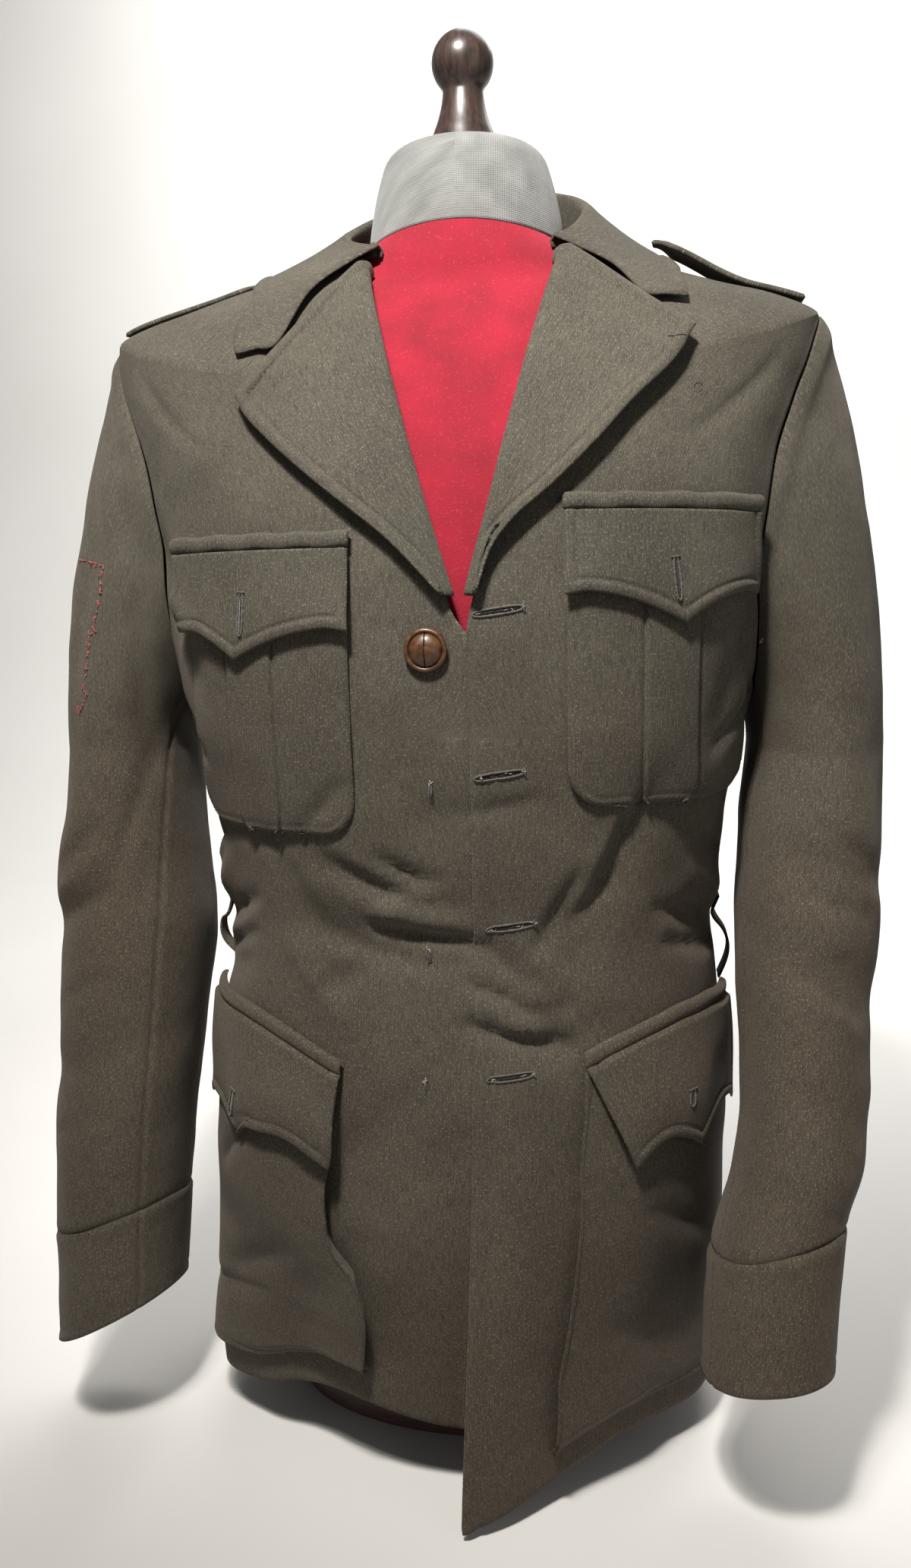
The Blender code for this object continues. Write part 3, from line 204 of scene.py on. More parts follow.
SLEEVES = {
    "left": [
        # z, x, half_width, y, half_depth, slope_x, slope_y
        (0.440, 0.2140, 0.0390, -0.006, 0.064, 0.00, 0.00),
        (0.400, 0.2110, 0.0410, -0.015, 0.063, 0.00, -0.04),
        (0.360, 0.2090, 0.0410, -0.024, 0.060, 0.00, -0.08),
        (0.320, 0.2070, 0.0385, -0.036, 0.057, 0.00, -0.14),
        (0.280, 0.2060, 0.0365, -0.050, 0.053, 0.05, -0.18),
        (0.240, 0.2060, 0.0360, -0.066, 0.050, 0.10, -0.20),
        (0.205, 0.2010, 0.0365, -0.080, 0.049, 0.18, -0.22),
        (0.165, 0.1895, 0.0375, -0.091, 0.049, 0.30, -0.24),
        (0.094, 0.1830, 0.0370, -0.110, 0.047, 0.15, -0.26),
    ],
    "right": [
        (0.440, -0.2155, 0.0375, -0.005, 0.062, 0.00, 0.00),
        (0.400, -0.2155, 0.0405, -0.009, 0.061, 0.00, -0.02),
        (0.360, -0.2145, 0.0440, -0.015, 0.059, 0.00, -0.05),
        (0.320, -0.2135, 0.0475, -0.021, 0.057, 0.05, -0.08),
        (0.280, -0.2155, 0.0465, -0.028, 0.055, 0.10, -0.12),
        (0.240, -0.2180, 0.0445, -0.035, 0.053, 0.16, -0.15),
        (0.200, -0.2205, 0.0430, -0.042, 0.052, 0.22, -0.18),
        (0.140, -0.2225, 0.0410, -0.052, 0.050, 0.33, -0.20),
        (0.075, -0.2235, 0.0395, -0.061, 0.048, 0.50, -0.20),
    ],
}
SLEEVE_NAMES = ("z", "x", "half_width", "y", "half_depth", "slope_x", "slope_y")
SLEEVE_FOLDS = {
    "left": [
        # name, angle, z, end angle, end z, width, depth
        ("head dent", 60, 0.650, 30, 0.610, 0.012, -0.0030),
        ("elbow ridge", 10, 0.440, 70, 0.320, 0.018, 0.0050),
        ("elbow hollow", -5, 0.380, 60, 0.365, 0.014, -0.0045),
        ("lower elbow hollow", -10, 0.325, 55, 0.305, 0.014, -0.0045),
        ("forearm hollow", 5, 0.250, 60, 0.235, 0.013, -0.0030),
        ("back elbow crease", 120, 0.360, 200, 0.345, 0.012, -0.0035),
        ("back forearm crease", 130, 0.300, 190, 0.280, 0.012, -0.0030),
    ],
    "right": [
        ("long head trough", -62, 0.640, -30, 0.545, 0.013, -0.0045),
        ("arm trough", -40, 0.545, -25, 0.455, 0.012, -0.0035),
        ("elbow ridge", -20, 0.400, -80, 0.330, 0.018, 0.0040),
        ("elbow hollow", -5, 0.350, -60, 0.330, 0.014, -0.0040),
        ("forearm hollow", -10, 0.250, -60, 0.235, 0.013, -0.0030),
        ("back elbow crease", -120, 0.370, -200, 0.350, 0.012, -0.0035),
    ],
}
SLEEVE_CREASES = {
    "left": [
        # name, angle, z, end angle, end z, width, depth
        ("dent under the sleeve head", 40, 0.662, 14, 0.620, 0.0060, -0.0016),
        ("ripple at the head", 18, 0.640, 4, 0.590, 0.0055, 0.0012),
        ("second ripple at the head", 74, 0.655, 58, 0.612, 0.0060, -0.0012),
        ("pull along the upper arm", 8, 0.560, 20, 0.470, 0.0080, -0.0016),
        ("elbow crease", 4, 0.398, 44, 0.376, 0.0055, -0.0022),
        ("elbow crease below", -4, 0.362, 38, 0.350, 0.0050, -0.0018),
        ("elbow lip", 10, 0.372, 50, 0.356, 0.0055, 0.0016),
        ("forearm crease", -6, 0.316, 40, 0.298, 0.0055, -0.0020),
        ("forearm lip", 2, 0.308, 44, 0.284, 0.0055, 0.0014),
        ("wrist crease", 10, 0.232, 52, 0.216, 0.0050, -0.0015),
        ("wrist dent", 30, 0.196, 58, 0.186, 0.0050, -0.0013),
        ("back elbow nip", 140, 0.378, 190, 0.366, 0.0055, -0.0018),
        ("back elbow nip below", 132, 0.334, 186, 0.322, 0.0055, -0.0016),
        ("outer arm ripple", 84, 0.470, 96, 0.380, 0.0110, -0.0013),
    ],
    "right": [
        ("dent under the sleeve head", -44, 0.655, -24, 0.610, 0.0055, -0.0015),
        ("head trough core", -66, 0.645, -40, 0.616, 0.0060, -0.0028),
        ("head trough core below", -40, 0.616, -4, 0.552, 0.0065, -0.0032),
        ("head trough lip", -58, 0.620, -20, 0.552, 0.0060, 0.0015),
        ("arm trough core", 3, 0.531, 48, 0.434, 0.0070, -0.0030),
        ("arm trough lip", 20, 0.520, 62, 0.440, 0.0060, 0.0014),
        ("fold over the elbow", 40, 0.430, 10, 0.372, 0.0070, -0.0024),
        ("arm ripple", -64, 0.520, -58, 0.440, 0.0090, -0.0012),
        ("elbow crease", -6, 0.392, -44, 0.366, 0.0055, -0.0020),
        ("elbow crease below", -2, 0.354, -42, 0.336, 0.0050, -0.0018),
        ("elbow lip", -10, 0.372, -52, 0.346, 0.0055, 0.0015),
        ("forearm crease", -6, 0.300, -40, 0.284, 0.0055, -0.0016),
        ("wrist crease", -10, 0.212, -48, 0.198, 0.0050, -0.0014),
        ("back elbow nip", -140, 0.388, -190, 0.372, 0.0055, -0.0018),
        ("back forearm nip", -136, 0.300, -182, 0.290, 0.0055, -0.0014),
        ("outer arm dent", -88, 0.330, -98, 0.260, 0.0110, -0.0013),
    ],
}
SLEEVE_RADIUS = 0.050
CAP_ROWS = 52
TUBE_ROWS = 80
CUFF_ROWS = 24
SLEEVE_SEAMS = {
    # the front seam's angle at each height, from the cuff up, and the hidden back seam's angle
    "left": ([(0.100, -62.0), (0.165, -70.0), (0.225, -87.0), (0.3025, -69.0), (0.368, -63.0),
              (0.404, -66.0), (0.460, -57.0), (0.620, -52.0)], 150.0),
    "right": ([(0.080, 40.0), (0.248, 37.5), (0.323, 36.0), (0.387, 49.5), (0.445, 63.0),
               (0.620, 60.0)], -150.0),
}

LAPEL_ROLL = {
    # bottom x, bottom z, top x, top z
    "left": (0.0240, 0.532, 0.0675, 0.718),
    "right": (0.0100, 0.532, -0.0458, 0.7145),
}
LAPEL_EDGE = {
    "left": [
        # share of the roll line, x, z
        (0.00, 0.0275, 0.5330),
        (0.12, 0.0340, 0.5520),
        (0.25, 0.0440, 0.5665),
        (0.40, 0.0650, 0.5855),
        (0.55, 0.0865, 0.6065),
        (0.70, 0.1035, 0.6255),
        (0.85, 0.1225, 0.6445),
        (1.00, 0.1350, 0.6625),
    ],
    "right": [
        (0.00, 0.0070, 0.5330),
        (0.12, -0.0065, 0.5470),
        (0.25, -0.0210, 0.5610),
        (0.40, -0.0430, 0.5785),
        (0.55, -0.0665, 0.5970),
        (0.70, -0.0835, 0.6115),
        (0.85, -0.0985, 0.6265),
        (1.00, -0.1045, 0.6370),
    ],
}
LAPEL_ACROSS = [
    # share from the roll to the edge, step back from the roll, how far out
    (0.00, 0.0110, -0.0056),
    (0.00, 0.0010, -0.0054),
    (0.00, -0.0036, -0.0016),
    (0.00, -0.0034, 0.0022),
    (0.03, 0.0000, 0.0048),
    (0.16, 0.0000, 0.0048),
    (0.38, 0.0000, 0.0046),
    (0.62, 0.0000, 0.0048),
    (0.82, 0.0000, 0.0058),
    (1.00, 0.0000, 0.0076),
]
LAPEL_ROWS = 90
LAPEL_COLUMNS = 84

COLLAR_STATIONS = [
    # angle, stand on the left, stand on the right, lean in, edge angle left, edge angle right, edge height
    (48.0, 0.002, 0.002, 0.000, 0.0, 0.0, 0.0),
    (64.0, 0.008, 0.004, 0.001, 57.0, 47.0, 0.7090),
    (90.0, 0.021, 0.011, 0.002, 86.0, 82.0, 0.7175),
    (120.0, 0.032, 0.024, 0.005, 121.0, 120.0, 0.7165),
    (150.0, 0.037, 0.034, 0.007, 151.0, 151.0, 0.7170),
    (180.0, 0.039, 0.039, 0.008, 180.0, 180.0, 0.7170),
]
COLLAR_TIPS = {"left": (0.1329, 0.6850), "right": (-0.1084, 0.6615)}
COLLAR_NOTCHES = {"left": (0.1094, 0.6862), "right": (-0.0851, 0.6655)}
COLLAR_COLUMNS = 200
COLLAR_ROWS = 64
COLLAR_FALL = [1.0, 0.82, 0.60, 0.36, 0.12, 0.0]
COLLAR_OUT = 0.0046
RIGHT_GORGE = 37.0

STRAPS = {
    # outer x, inner x, how far the inner end lifts
    "left": (0.2020, 0.1170, 0.0100),
    "right": (0.2020, 0.1170, 0.0000),
}
STRAP_HALF = 0.0200
STRAP_Y = -0.004
STRAP_WALL = 0.0026

CHEST_POCKETS = {
    # inner x, outer x, welt z, point x, pleat x
    "left": (0.0700, 0.1690, 0.5775, 0.1283, 0.1246),
    "right": (-0.0410, -0.1460, 0.5610, -0.1044, -0.1000),
}
WELT_HALF = 0.0045
WELT_WALL = 0.0026
FLAP_DROP = 0.0390
FLAP_POINT = 0.0170
POCKET_DROP = 0.158
POCKET_INSET = 0.002
POCKET_CORNER = 0.020
PLEAT_HALF = 0.0133
PLEAT_RAISE = 0.0014
POCKET_OUT = 0.0032

LOWER_POCKETS = {
    # outer angle, bottom z, height of the flap's corners, height of its point
    "left": (84.0, 0.050, 0.2163, 0.2172),
    "right": (-78.0, 0.055, 0.2134, 0.2167),
}
LOWER_LINES = {
    # share of the height, x of the pocket's inner edge
    "left": [(0.0, 0.0608), (0.2, 0.0650), (0.5, 0.0730), (0.8, 0.0780), (1.0, 0.0800)],
    "right": [(0.0, -0.0465), (0.307, -0.0427), (0.411, -0.0455), (0.496, -0.0605),
              (0.55, -0.0640), (0.657, -0.0650), (0.82, -0.0618), (1.0, -0.0560)],
}
LOWER_TOPS = {
    # angle, height of the pocket's top line
    "left": [(25.5, 0.2765), (33.5, 0.2838), (42.5, 0.2905), (54.5, 0.2947), (64.0, 0.2947),
             (75.5, 0.2915), (88.0, 0.2890)],
    "right": [(18.5, 0.2698), (25.0, 0.2771), (32.5, 0.2840), (41.5, 0.2894), (50.5, 0.2917),
              (60.0, 0.2917), (88.0, 0.2890)],
}
FLAP_ARCH = 0.0130
FLAP_SWING = {
    # degrees that the flap's lower edge swings outwards at its inner corner, point and outer corner
    "left": (10.0, -0.3, 0.0),
    "right": (1.5, -3.7, 0.0),
}
BELLOWS = 0.0075
LOWER_SEAT = {"left": 0.0031, "right": 0.0037}
WELT_SEAT = 0.0031
LOWER_FOOT = {"left": 0.0009, "right": 0.0025}
BELT_LOOPS = {
    # angle, top z, bottom z, how far it bows out
    "left": (88.0, 0.345, 0.292, 0.0075),
    "right": (-86.0, 0.348, 0.303, 0.0100),
}
BUTTON = {"x": -0.001, "z": 0.504, "radius": 0.0115, "height": 0.0075}

FORM_COLUMNS = 112
FORM_FOOT = [
    # z, half_width, half_depth
    (0.000, 0.118, 0.066),
    (0.010, 0.122, 0.071),
    (0.040, 0.136, 0.092),
]
FORM_RINGS = [
    # height, clear at the sides and back, clear at the front
    (0.090, 0.024, 0.024),
    (0.150, 0.018, 0.018),
    (0.210, 0.016, 0.016),
    (0.270, 0.014, 0.014),
    (0.330, 0.013, 0.013),
    (0.390, 0.012, 0.012),
    (0.440, 0.011, 0.011),
    (0.490, 0.010, 0.010),
    (0.540, 0.009, 0.009),
    (0.590, 0.008, 0.009),
    (0.635, 0.006, 0.009),
    (0.668, 0.007, 0.009),
    (0.687, 0.0065, 0.009),
    (0.703, 0.0045, 0.009),
    (0.716, 0.0030, 0.009),
    (0.728, 0.0030, 0.009),
]
NECK_X = 0.0065
FORM_NECK = [
    # z, half_width, half_depth, slope, arch over the front and back
    (0.7315, 0.0585, 0.0545, 0.03, 2.6),
    (0.7450, 0.0570, 0.0535, 0.02, 1.3),
    (0.7600, 0.0540, 0.0520, 0.01, 0.4),
    (0.7730, 0.0505, 0.0495, 0.00, 0.0),
    (0.7820, 0.0470, 0.0465, 0.00, 0.0),
    (0.7870, 0.0410, 0.0410, 0.00, 0.0),
    (0.7890, 0.0310, 0.0310, 0.00, 0.0),
]

RED_THREAD = [
    # x and z of an unpicked seam's thread ends on the wearer's right sleeve
    (-0.2303, 0.5569), (-0.2169, 0.5549), (-0.2056, 0.5522), (-0.2078, 0.5463), (-0.2092, 0.5387),
    (-0.2105, 0.5276), (-0.2130, 0.5207), (-0.2185, 0.5059), (-0.2197, 0.4976), (-0.2209, 0.4869),
    (-0.2234, 0.4802), (-0.2209, 0.4758), (-0.2271, 0.4656), (-0.2341, 0.4642),
]
FRONT_HOLES = [(0.0362, 0.4380), (0.0399, 0.3530), (0.0398, 0.2686), (0.0367, 0.5233)]


def smooth(knots, values, at):
    """Values at `at` on a curve that passes through the knots and never overshoots them."""
    knots = np.asarray(knots, float)
    values = np.asarray(values, float)
    step = np.diff(knots)
    rise = np.diff(values) / step
    slope = np.empty_like(values)
    slope[0], slope[-1] = rise[0], rise[-1]
    product = rise[1:] * rise[:-1]
    total = np.where(product > 0, rise[1:] + rise[:-1], 1.0)
    slope[1:-1] = np.where(product > 0, 2 * product / total, 0.0)
    at = np.clip(at, knots[0], knots[-1])
    i = np.clip(np.searchsorted(knots, at, side="right") - 1, 0, len(step) - 1)
    t = (at - knots[i]) / step[i]
    start = (1 + 2 * t) * (1 - t) ** 2 * values[i] + t * (1 - t) ** 2 * step[i] * slope[i]
    end = t * t * (3 - 2 * t) * values[i + 1] - t * t * (1 - t) * step[i] * slope[i + 1]
    return start + end


def ease(value, low, high):
    """0 below `low`, 1 above `high`, and a soft step between them."""
    t = np.clip((value - low) / (high - low), 0.0, 1.0)
    return t * t * (3 - 2 * t)


def bell(distance, middle, width):
    """A rounded ridge, 1 at the middle."""
    return np.exp(-((distance - middle) / width) ** 2)


def unit(vectors):
    """Vectors brought to length 1."""
    return vectors / np.maximum(np.linalg.norm(vectors, axis=-1, keepdims=True), 1e-12)


def look_up(table, column, at, key=0):
    """A column of a table, on a smooth curve, at these places along its key column."""
    return smooth([row[key] for row in table], [row[column] for row in table], at)


def refine(grid, rows, columns):
    """A coarse grid of points, made finer on smooth curves through its points."""
    for axis, count in ((0, rows), (1, columns)):
        grid = np.moveaxis(grid, axis, 0)
        at = np.linspace(0, len(grid) - 1, count)
        i = np.clip(at.astype(int), 0, len(grid) - 2)
        t = (at - i).reshape((-1,) + (1,) * (grid.ndim - 1))
        padded = np.concatenate([2 * grid[:1] - grid[1:2], grid, 2 * grid[-1:] - grid[-2:-1]])
        a, b, c, d = padded[i], padded[i + 1], padded[i + 2], padded[i + 3]
        grid = b + 0.5 * t * (c - a + t * (2 * a - 5 * b + 4 * c - d + t * (3 * (b - c) + d - a)))
        grid = np.moveaxis(grid, 0, axis)
    return grid


def mottle(points, size, seed):
    """Smooth noise from -1 to 1 at these points, with lumps of this size."""
    at = np.asarray(points, float) / size + seed * 17.3
    cell = np.floor(at).astype(np.int64)
    t = at - cell
    t = t * t * (3 - 2 * t)
    total = np.zeros(at.shape[:-1])
    for corner in range(8):
        pick = np.array([corner & 1, corner >> 1 & 1, corner >> 2 & 1])
        near = cell + pick
        mixed = near[..., 0] * 73856093 ^ near[..., 1] * 19349663 ^ near[..., 2] * 83492791
        mixed = (mixed ^ mixed >> 13) * 1274126177 & 0x7FFFFFFF
        value = (mixed % 65536) / 32768.0 - 1
        total = total + value * np.prod(np.where(pick == 1, t, 1 - t), axis=-1)
    return total


def fold_depth(folds, angle, height, radius):
    """How far all the folds move a point out of the plain surface."""
    moved = np.zeros(np.broadcast(angle, height).shape)
    for _name, a0, z0, a1, z1, width, depth in folds:
        along = np.array([math.radians(a1 - a0) * radius, z1 - z0])
        length = np.hypot(*along)
        turn = angle - math.radians(a0)
        turn = (turn - math.radians(a1 - a0) / 2 + math.pi) % (2 * math.pi) - math.pi
        dx = (turn + math.radians(a1 - a0) / 2) * radius
        dz = height - z0
        share = (dx * along[0] + dz * along[1]) / length ** 2
        across = (dx * along[1] - dz * along[0]) / length
        beyond = np.maximum(np.abs(share - 0.5) - 0.5, 0.0) * length
        fade = np.exp(-(beyond / (1.6 * width)) ** 2) * (1 - 0.35 * np.abs(2 * np.clip(share, 0, 1) - 1))
        moved = moved + depth * np.exp(-(across / width) ** 2) * fade
    return moved


def ring_sizes(height):
    """The ring table's columns at these heights."""
    return {name: look_up(RINGS, 1 + k, height, key=1) for k, name in enumerate(RING_NAMES)}


def body(angle, height, folds=FOLDS + [(*row[:6], row[6] * CREASE_STRENGTH) for row in CREASES]):
    """The jacket's outer surface, with its folds."""
    ring = ring_sizes(height)
    sine, cosine = np.sin(angle), np.cos(angle)
    reach = np.abs(cosine)
    depth = np.where(cosine > 0, -ring["front"], ring["back"])
    edge = np.where(cosine > 0, ring["z_front"], ring["z_back"])
    swell = 1 + fold_depth(folds, angle, height, RADIUS) * 1.1 / RADIUS
    x = ring["half_width"] * np.sign(sine) * np.abs(sine) ** ring["square"] * swell
    y = depth * reach ** ring["square"] * swell
    z = height + (edge - height) * reach ** 1.5
    return np.stack(np.broadcast_arrays(x + ring["middle_x"], y, z), axis=-1)


def plain_body(angle, height):
    return body(angle, height, folds=[])


def outward(surface, a, b, step_a=0.012, step_b=0.003):
    """Unit normals of surface(a, b)."""
    along = surface(a + step_a, b) - surface(a - step_a, b)
    up = surface(a, b + step_b) - surface(a, b - step_b)
    return unit(np.cross(along, up))


def lie(angle, height, out):
    """Points lying `out` above the jacket's outer surface."""
    lift = np.asarray(out, float)[..., None] if np.ndim(out) else out
    return body(angle, height) + outward(body, angle, height) * lift


def angle_at(x, height):
    """The angle at which a ring's front passes x."""
    ring = ring_sizes(height)
    ratio = np.clip(np.abs(x - ring["middle_x"]) / ring["half_width"], 0.0, 0.9999)
    return np.sign(x - ring["middle_x"]) * np.arcsin(ratio ** (1 / ring["square"]))


def seat(x, z):
    """The angle and height of the point of the front that shows at x and z."""
    x, z = np.broadcast_arrays(np.asarray(x, float), np.asarray(z, float))
    height = z.copy()
    for _ in range(SEAT_ROUNDS):
        angle = angle_at(x, height)
        height = np.clip(height + 0.45 * (z - plain_body(angle, height)[..., 2]), 0.0, NECKLINE)
    return angle, height


def lap(side, x, height):
    """How far the wearer's left front is moved out to lie over the right one."""
    near = 1 - ease(x, 0.035, 0.065)
    return (CLOTH + 2 * GAP) * near * (1 - ease(height, 0.54, 0.58)) * (side == "left")


def lie_on_front(side, x, z, out):
    """Points on a front seen at x and z, moved out, with the overlap's lift."""
    angle, height = seat(x, z)
    return lie(angle, height, out + lap(side, x, height))


def handed(grid, side):
    """Columns run the other way on the wearer's right, so that faces still point out."""
    return grid if side == "left" else grid[:, ::-1]


def armhole_heights():
    steps = np.arange(ARMHOLE_STEPS + 1) / ARMHOLE_STEPS
    middle, half = (UNDERARM + SHOULDER_TIP) / 2, (SHOULDER_TIP - UNDERARM) / 2
    return middle - half * np.cos(math.pi * steps)


def row_heights():
    lower = np.linspace(RINGS[0][1], UNDERARM, LOWER_ROWS + 1)[:-1]
    upper = np.linspace(SHOULDER_TIP, NECKLINE, SHOULDER_ROWS + 1)[1:]
    return np.concatenate([lower, armhole_heights(), upper])


def side_limit(height, back):
    """Angle at which a panel ends: side seam, armhole, or shoulder seam."""
    middle, half = (UNDERARM + SHOULDER_TIP) / 2, (SHOULDER_TIP - UNDERARM) / 2
    inside = np.sqrt(np.clip(1 - ((height - middle) / half) ** 2, 0.0, 1.0))
    base = SIDE_SEAM + (math.pi / 2 - SIDE_SEAM) * ease(height, UNDERARM, SHOULDER_TIP)
    reach = ARMHOLE_HALF_ANGLE * inside ** 0.85
    return base + reach * 0.95 if back else base - reach


def edge_angle(side, height):
    column = 1 if side == "left" else 2
    below = look_up(FRONT_EDGES, column, height)
    x0, z0, x1, z1 = LAPEL_ROLL[side]
    x = below
    for _ in range(ROLL_ROUNDS):
        z = body(angle_at(x, height), height)[..., 2]
        roll = x0 + (x1 - x0) * (z - z0) / (z1 - z0) + ROLL_INSET * SIGN[side]
        x = below + (roll - below) * ease(z, z0 - 0.032, z0 - 0.008)
    return angle_at(x, height)


def seam_groove(distance):
    """A pressed seam: the cloth dips into it and its allowance makes a faint ridge beside it."""
    return -0.0011 * bell(distance, 0.0, 0.0016) + 0.00035 * bell(distance, 0.0045, 0.0035)


def cloth_ripple(grid, seed):
    """The slight waviness of cloth that isn't lying taut."""
    return 0.00110 * mottle(grid, 0.034, seed) + 0.00042 * mottle(grid, 0.015, seed + 1)


def panel_shares(columns):
    """Shares across a panel, closer together at both seams."""
    even = np.linspace(0.0, 1.0, columns)
    return (even - CROWDING * np.sin(2 * math.pi * even) / (2 * math.pi) * 2)[None, :]


def hem_turning(plain):
    """The stitched line of the hem's turning, and the cloth's rise where it is double."""
    hem = plain[..., 2] - HEM_HEIGHT
    return - 0.0005 * bell(hem, 0.030, 0.0016) + 0.0005 * bell(hem, 0.015, 0.014)


def hang_hem(points, side):
    """The wearer's left corner hangs lower and swings forward, and the right hem rises a little."""
    x, z = points[..., 0], points[..., 2]
    low = 1 - ease(z, 0.020, 0.230)
    moved = points.copy()
    if side == "left":
        corner = 1 - ease(x, 0.004, 0.100)
        moved[..., 1] -= 0.032 * corner * low
        moved[..., 2] -= 0.0255 * (1 - np.clip((x - 0.010) / 0.090, 0, 1)) * (1 - ease(z, 0.028, 0.200))
    else:
        lift = look_up(RIGHT_HEM_LIFT, 1, x)
        moved[..., 2] += lift * (1 - ease(z, 0.028, 0.160))
    return moved


def front_grid(side):
    """Points of one front, from the hem up, with columns from the wearer's right to left."""
    heights = row_heights()[:, None]
    share = panel_shares(FRONT_COLUMNS)
    limit = side_limit(heights, back=False)
    edge = edge_angle(side, heights)
    if side == "left":
        angle = edge + (limit - edge) * share
        from_seam = (limit - angle) * RADIUS
        from_edge = (angle - edge) * RADIUS
    else:
        angle = -limit + (edge + limit) * share
        from_seam = (angle + limit) * RADIUS
        from_edge = (edge - angle) * RADIUS
    heights = heights + 0 * angle
    plain = plain_body(angle, heights)
    out = lap(side, plain[..., 0], heights) + seam_groove(from_seam) + cloth_ripple(plain, 3)
    below_break = 1 - ease(heights, 0.50, 0.53)
    turned = 0.0011 * bell(from_edge, 0.0025, 0.003) - 0.0008 * bell(from_edge, 0.0075, 0.0011)
    out = out + below_break * turned + hem_turning(plain)
    return hang_hem(lie(angle, heights, out), side)


def back_grid():
    heights = row_heights()[:, None]
    share = panel_shares(BACK_COLUMNS)
    limit = side_limit(heights, back=True)
    angle = limit + (2 * math.pi - 2 * limit) * share
    from_seam = np.minimum(angle - limit, 2 * math.pi - limit - angle) * RADIUS
    heights = heights + 0 * angle
    plain = plain_body(angle, heights)
    return lie(angle, heights, seam_groove(from_seam) + cloth_ripple(plain, 5) + hem_turning(plain))


def armhole_loop(side):
    """The edge of the armhole: underarm, up the front, over the shoulder tip, down the back."""
    heights = armhole_heights()
    up = [(side_limit(h, back=False), h) for h in heights]
    down = [(side_limit(h, back=True), h) for h in heights[-2:0:-1]]
    angle = np.array([a for a, _h in up + down])
    height = np.array([h for _a, h in up + down])
    return angle * SIGN[side], height


def sleeve_section(side, z, turn):
    """A ring of the sleeve: turn is 0 at the front and 90 degrees at its outer side."""
    rows = SLEEVES[side]
    knots = [-row[0] for row in rows]
    at = {name: smooth(knots, [row[k] for row in rows], -z) for k, name in enumerate(SLEEVE_NAMES)}
    outer = np.sin(turn) * SIGN[side]
    ahead = -np.cos(turn)
    dx = at["half_width"] * np.sign(outer) * np.abs(outer) ** 0.92
    dy = at["half_depth"] * np.sign(ahead) * np.abs(ahead) ** 0.92
    dz = at["slope_x"] * dx + at["slope_y"] * dy
    return np.stack(np.broadcast_arrays(at["x"] + dx, at["y"] + dy, z + dz), axis=-1)


def sleeve_turns():
    count = 2 * ARMHOLE_STEPS
    return np.arange(count) * 2 * math.pi / count - math.pi / 2


def sleeve_rows(side):
    """Rings of the sleeve from the armhole down to the cuff seam, underarm first."""
    angle, height = armhole_loop(side)
    start = lie(angle, height, 0.0004)
    middle = start.mean(axis=0)
    turn = sleeve_turns()
    top = sleeve_section(side, SLEEVES[side][0][0], turn)
    away = np.array([SIGN[side], 0.0, 0.0])
    inward = middle - start
    inward[:, 0] = 0.0
    start = start + away * 0.0004 + unit(inward) * 0.0004
    length = np.linalg.norm(top - start, axis=1, keepdims=True)
    leave = 0.14 * length * away + 0.5 * (top - start)
    arrive = np.array([0.0, 0.0, -1.0]) * length * 1.1
    rows = []
    for k in range(CAP_ROWS + 1):
        t = (k / CAP_ROWS) ** 1.15
        rows.append((2 * t ** 3 - 3 * t ** 2 + 1) * start + (t ** 3 - 2 * t ** 2 + t) * leave
                    + (3 * t ** 2 - 2 * t ** 3) * top + (t ** 3 - t ** 2) * arrive)
    seam = SLEEVES[side][-2][0]
    for z in np.linspace(SLEEVES[side][0][0], seam, TUBE_ROWS + 1)[1:]:
        rows.append(sleeve_section(side, z, turn))
    return rows


def crease_sleeve(side, rows, folds, seed):
    """Move each ring's points out or in by the sleeve's folds, seams and waviness."""
    turn = sleeve_turns() * SIGN[side]
    creased = []
    for row in rows:
        out = unit(row - row.mean(axis=0))
        depth = fold_depth(folds, turn, row[:, 2], SLEEVE_RADIUS) + cloth_ripple(row, seed)
        path, hidden = SLEEVE_SEAMS[side]
        shown = np.interp(row[:, 2], [z for z, _a in path], [a for _z, a in path])
        for seam in (shown, hidden + 0 * shown):
            away = (turn - np.radians(seam) + math.pi) % (2 * math.pi) - math.pi
            depth = depth + seam_groove(np.abs(away) * SLEEVE_RADIUS)
        creased.append(row + out * depth[:, None])
    return creased


def sleeve_grid(side):
    """The sleeve's rows, bottom up, with the cuff seam last."""
    rows = sleeve_rows(side)
    creased = crease_sleeve(side, rows, SLEEVE_FOLDS[side] + SLEEVE_CREASES[side], 7)
    near = np.linspace(0, 1, CAP_ROWS + 1)
    for k in range(CAP_ROWS + 1):
        settle = ease(near[k], 0.0, 0.16)
        creased[k] = rows[k] + (creased[k] - rows[k]) * settle
    grid = np.stack(creased[::-1])
    normal = grid_normals(grid, True)
    climb = np.linalg.norm(np.diff(grid, axis=0), axis=2)
    from_head = np.concatenate([np.cumsum(climb[::-1], axis=0)[::-1], np.zeros((1, grid.shape[1]))])
    from_cuff = np.concatenate([np.zeros((1, grid.shape[1])), np.cumsum(climb, axis=0)])
    high = ease(grid[..., 2], 0.54, 0.62)
    out = high * (0.0016 * bell(from_head, 0.010, 0.007) - 0.0006 * bell(from_head, 0.0, 0.002))
    out = out - 0.0007 * bell(from_cuff, 0.0, 0.0016)
    flipped = 1.0 if side == "left" else -1.0
    return handed(grid + normal * flipped * out[..., None], side)


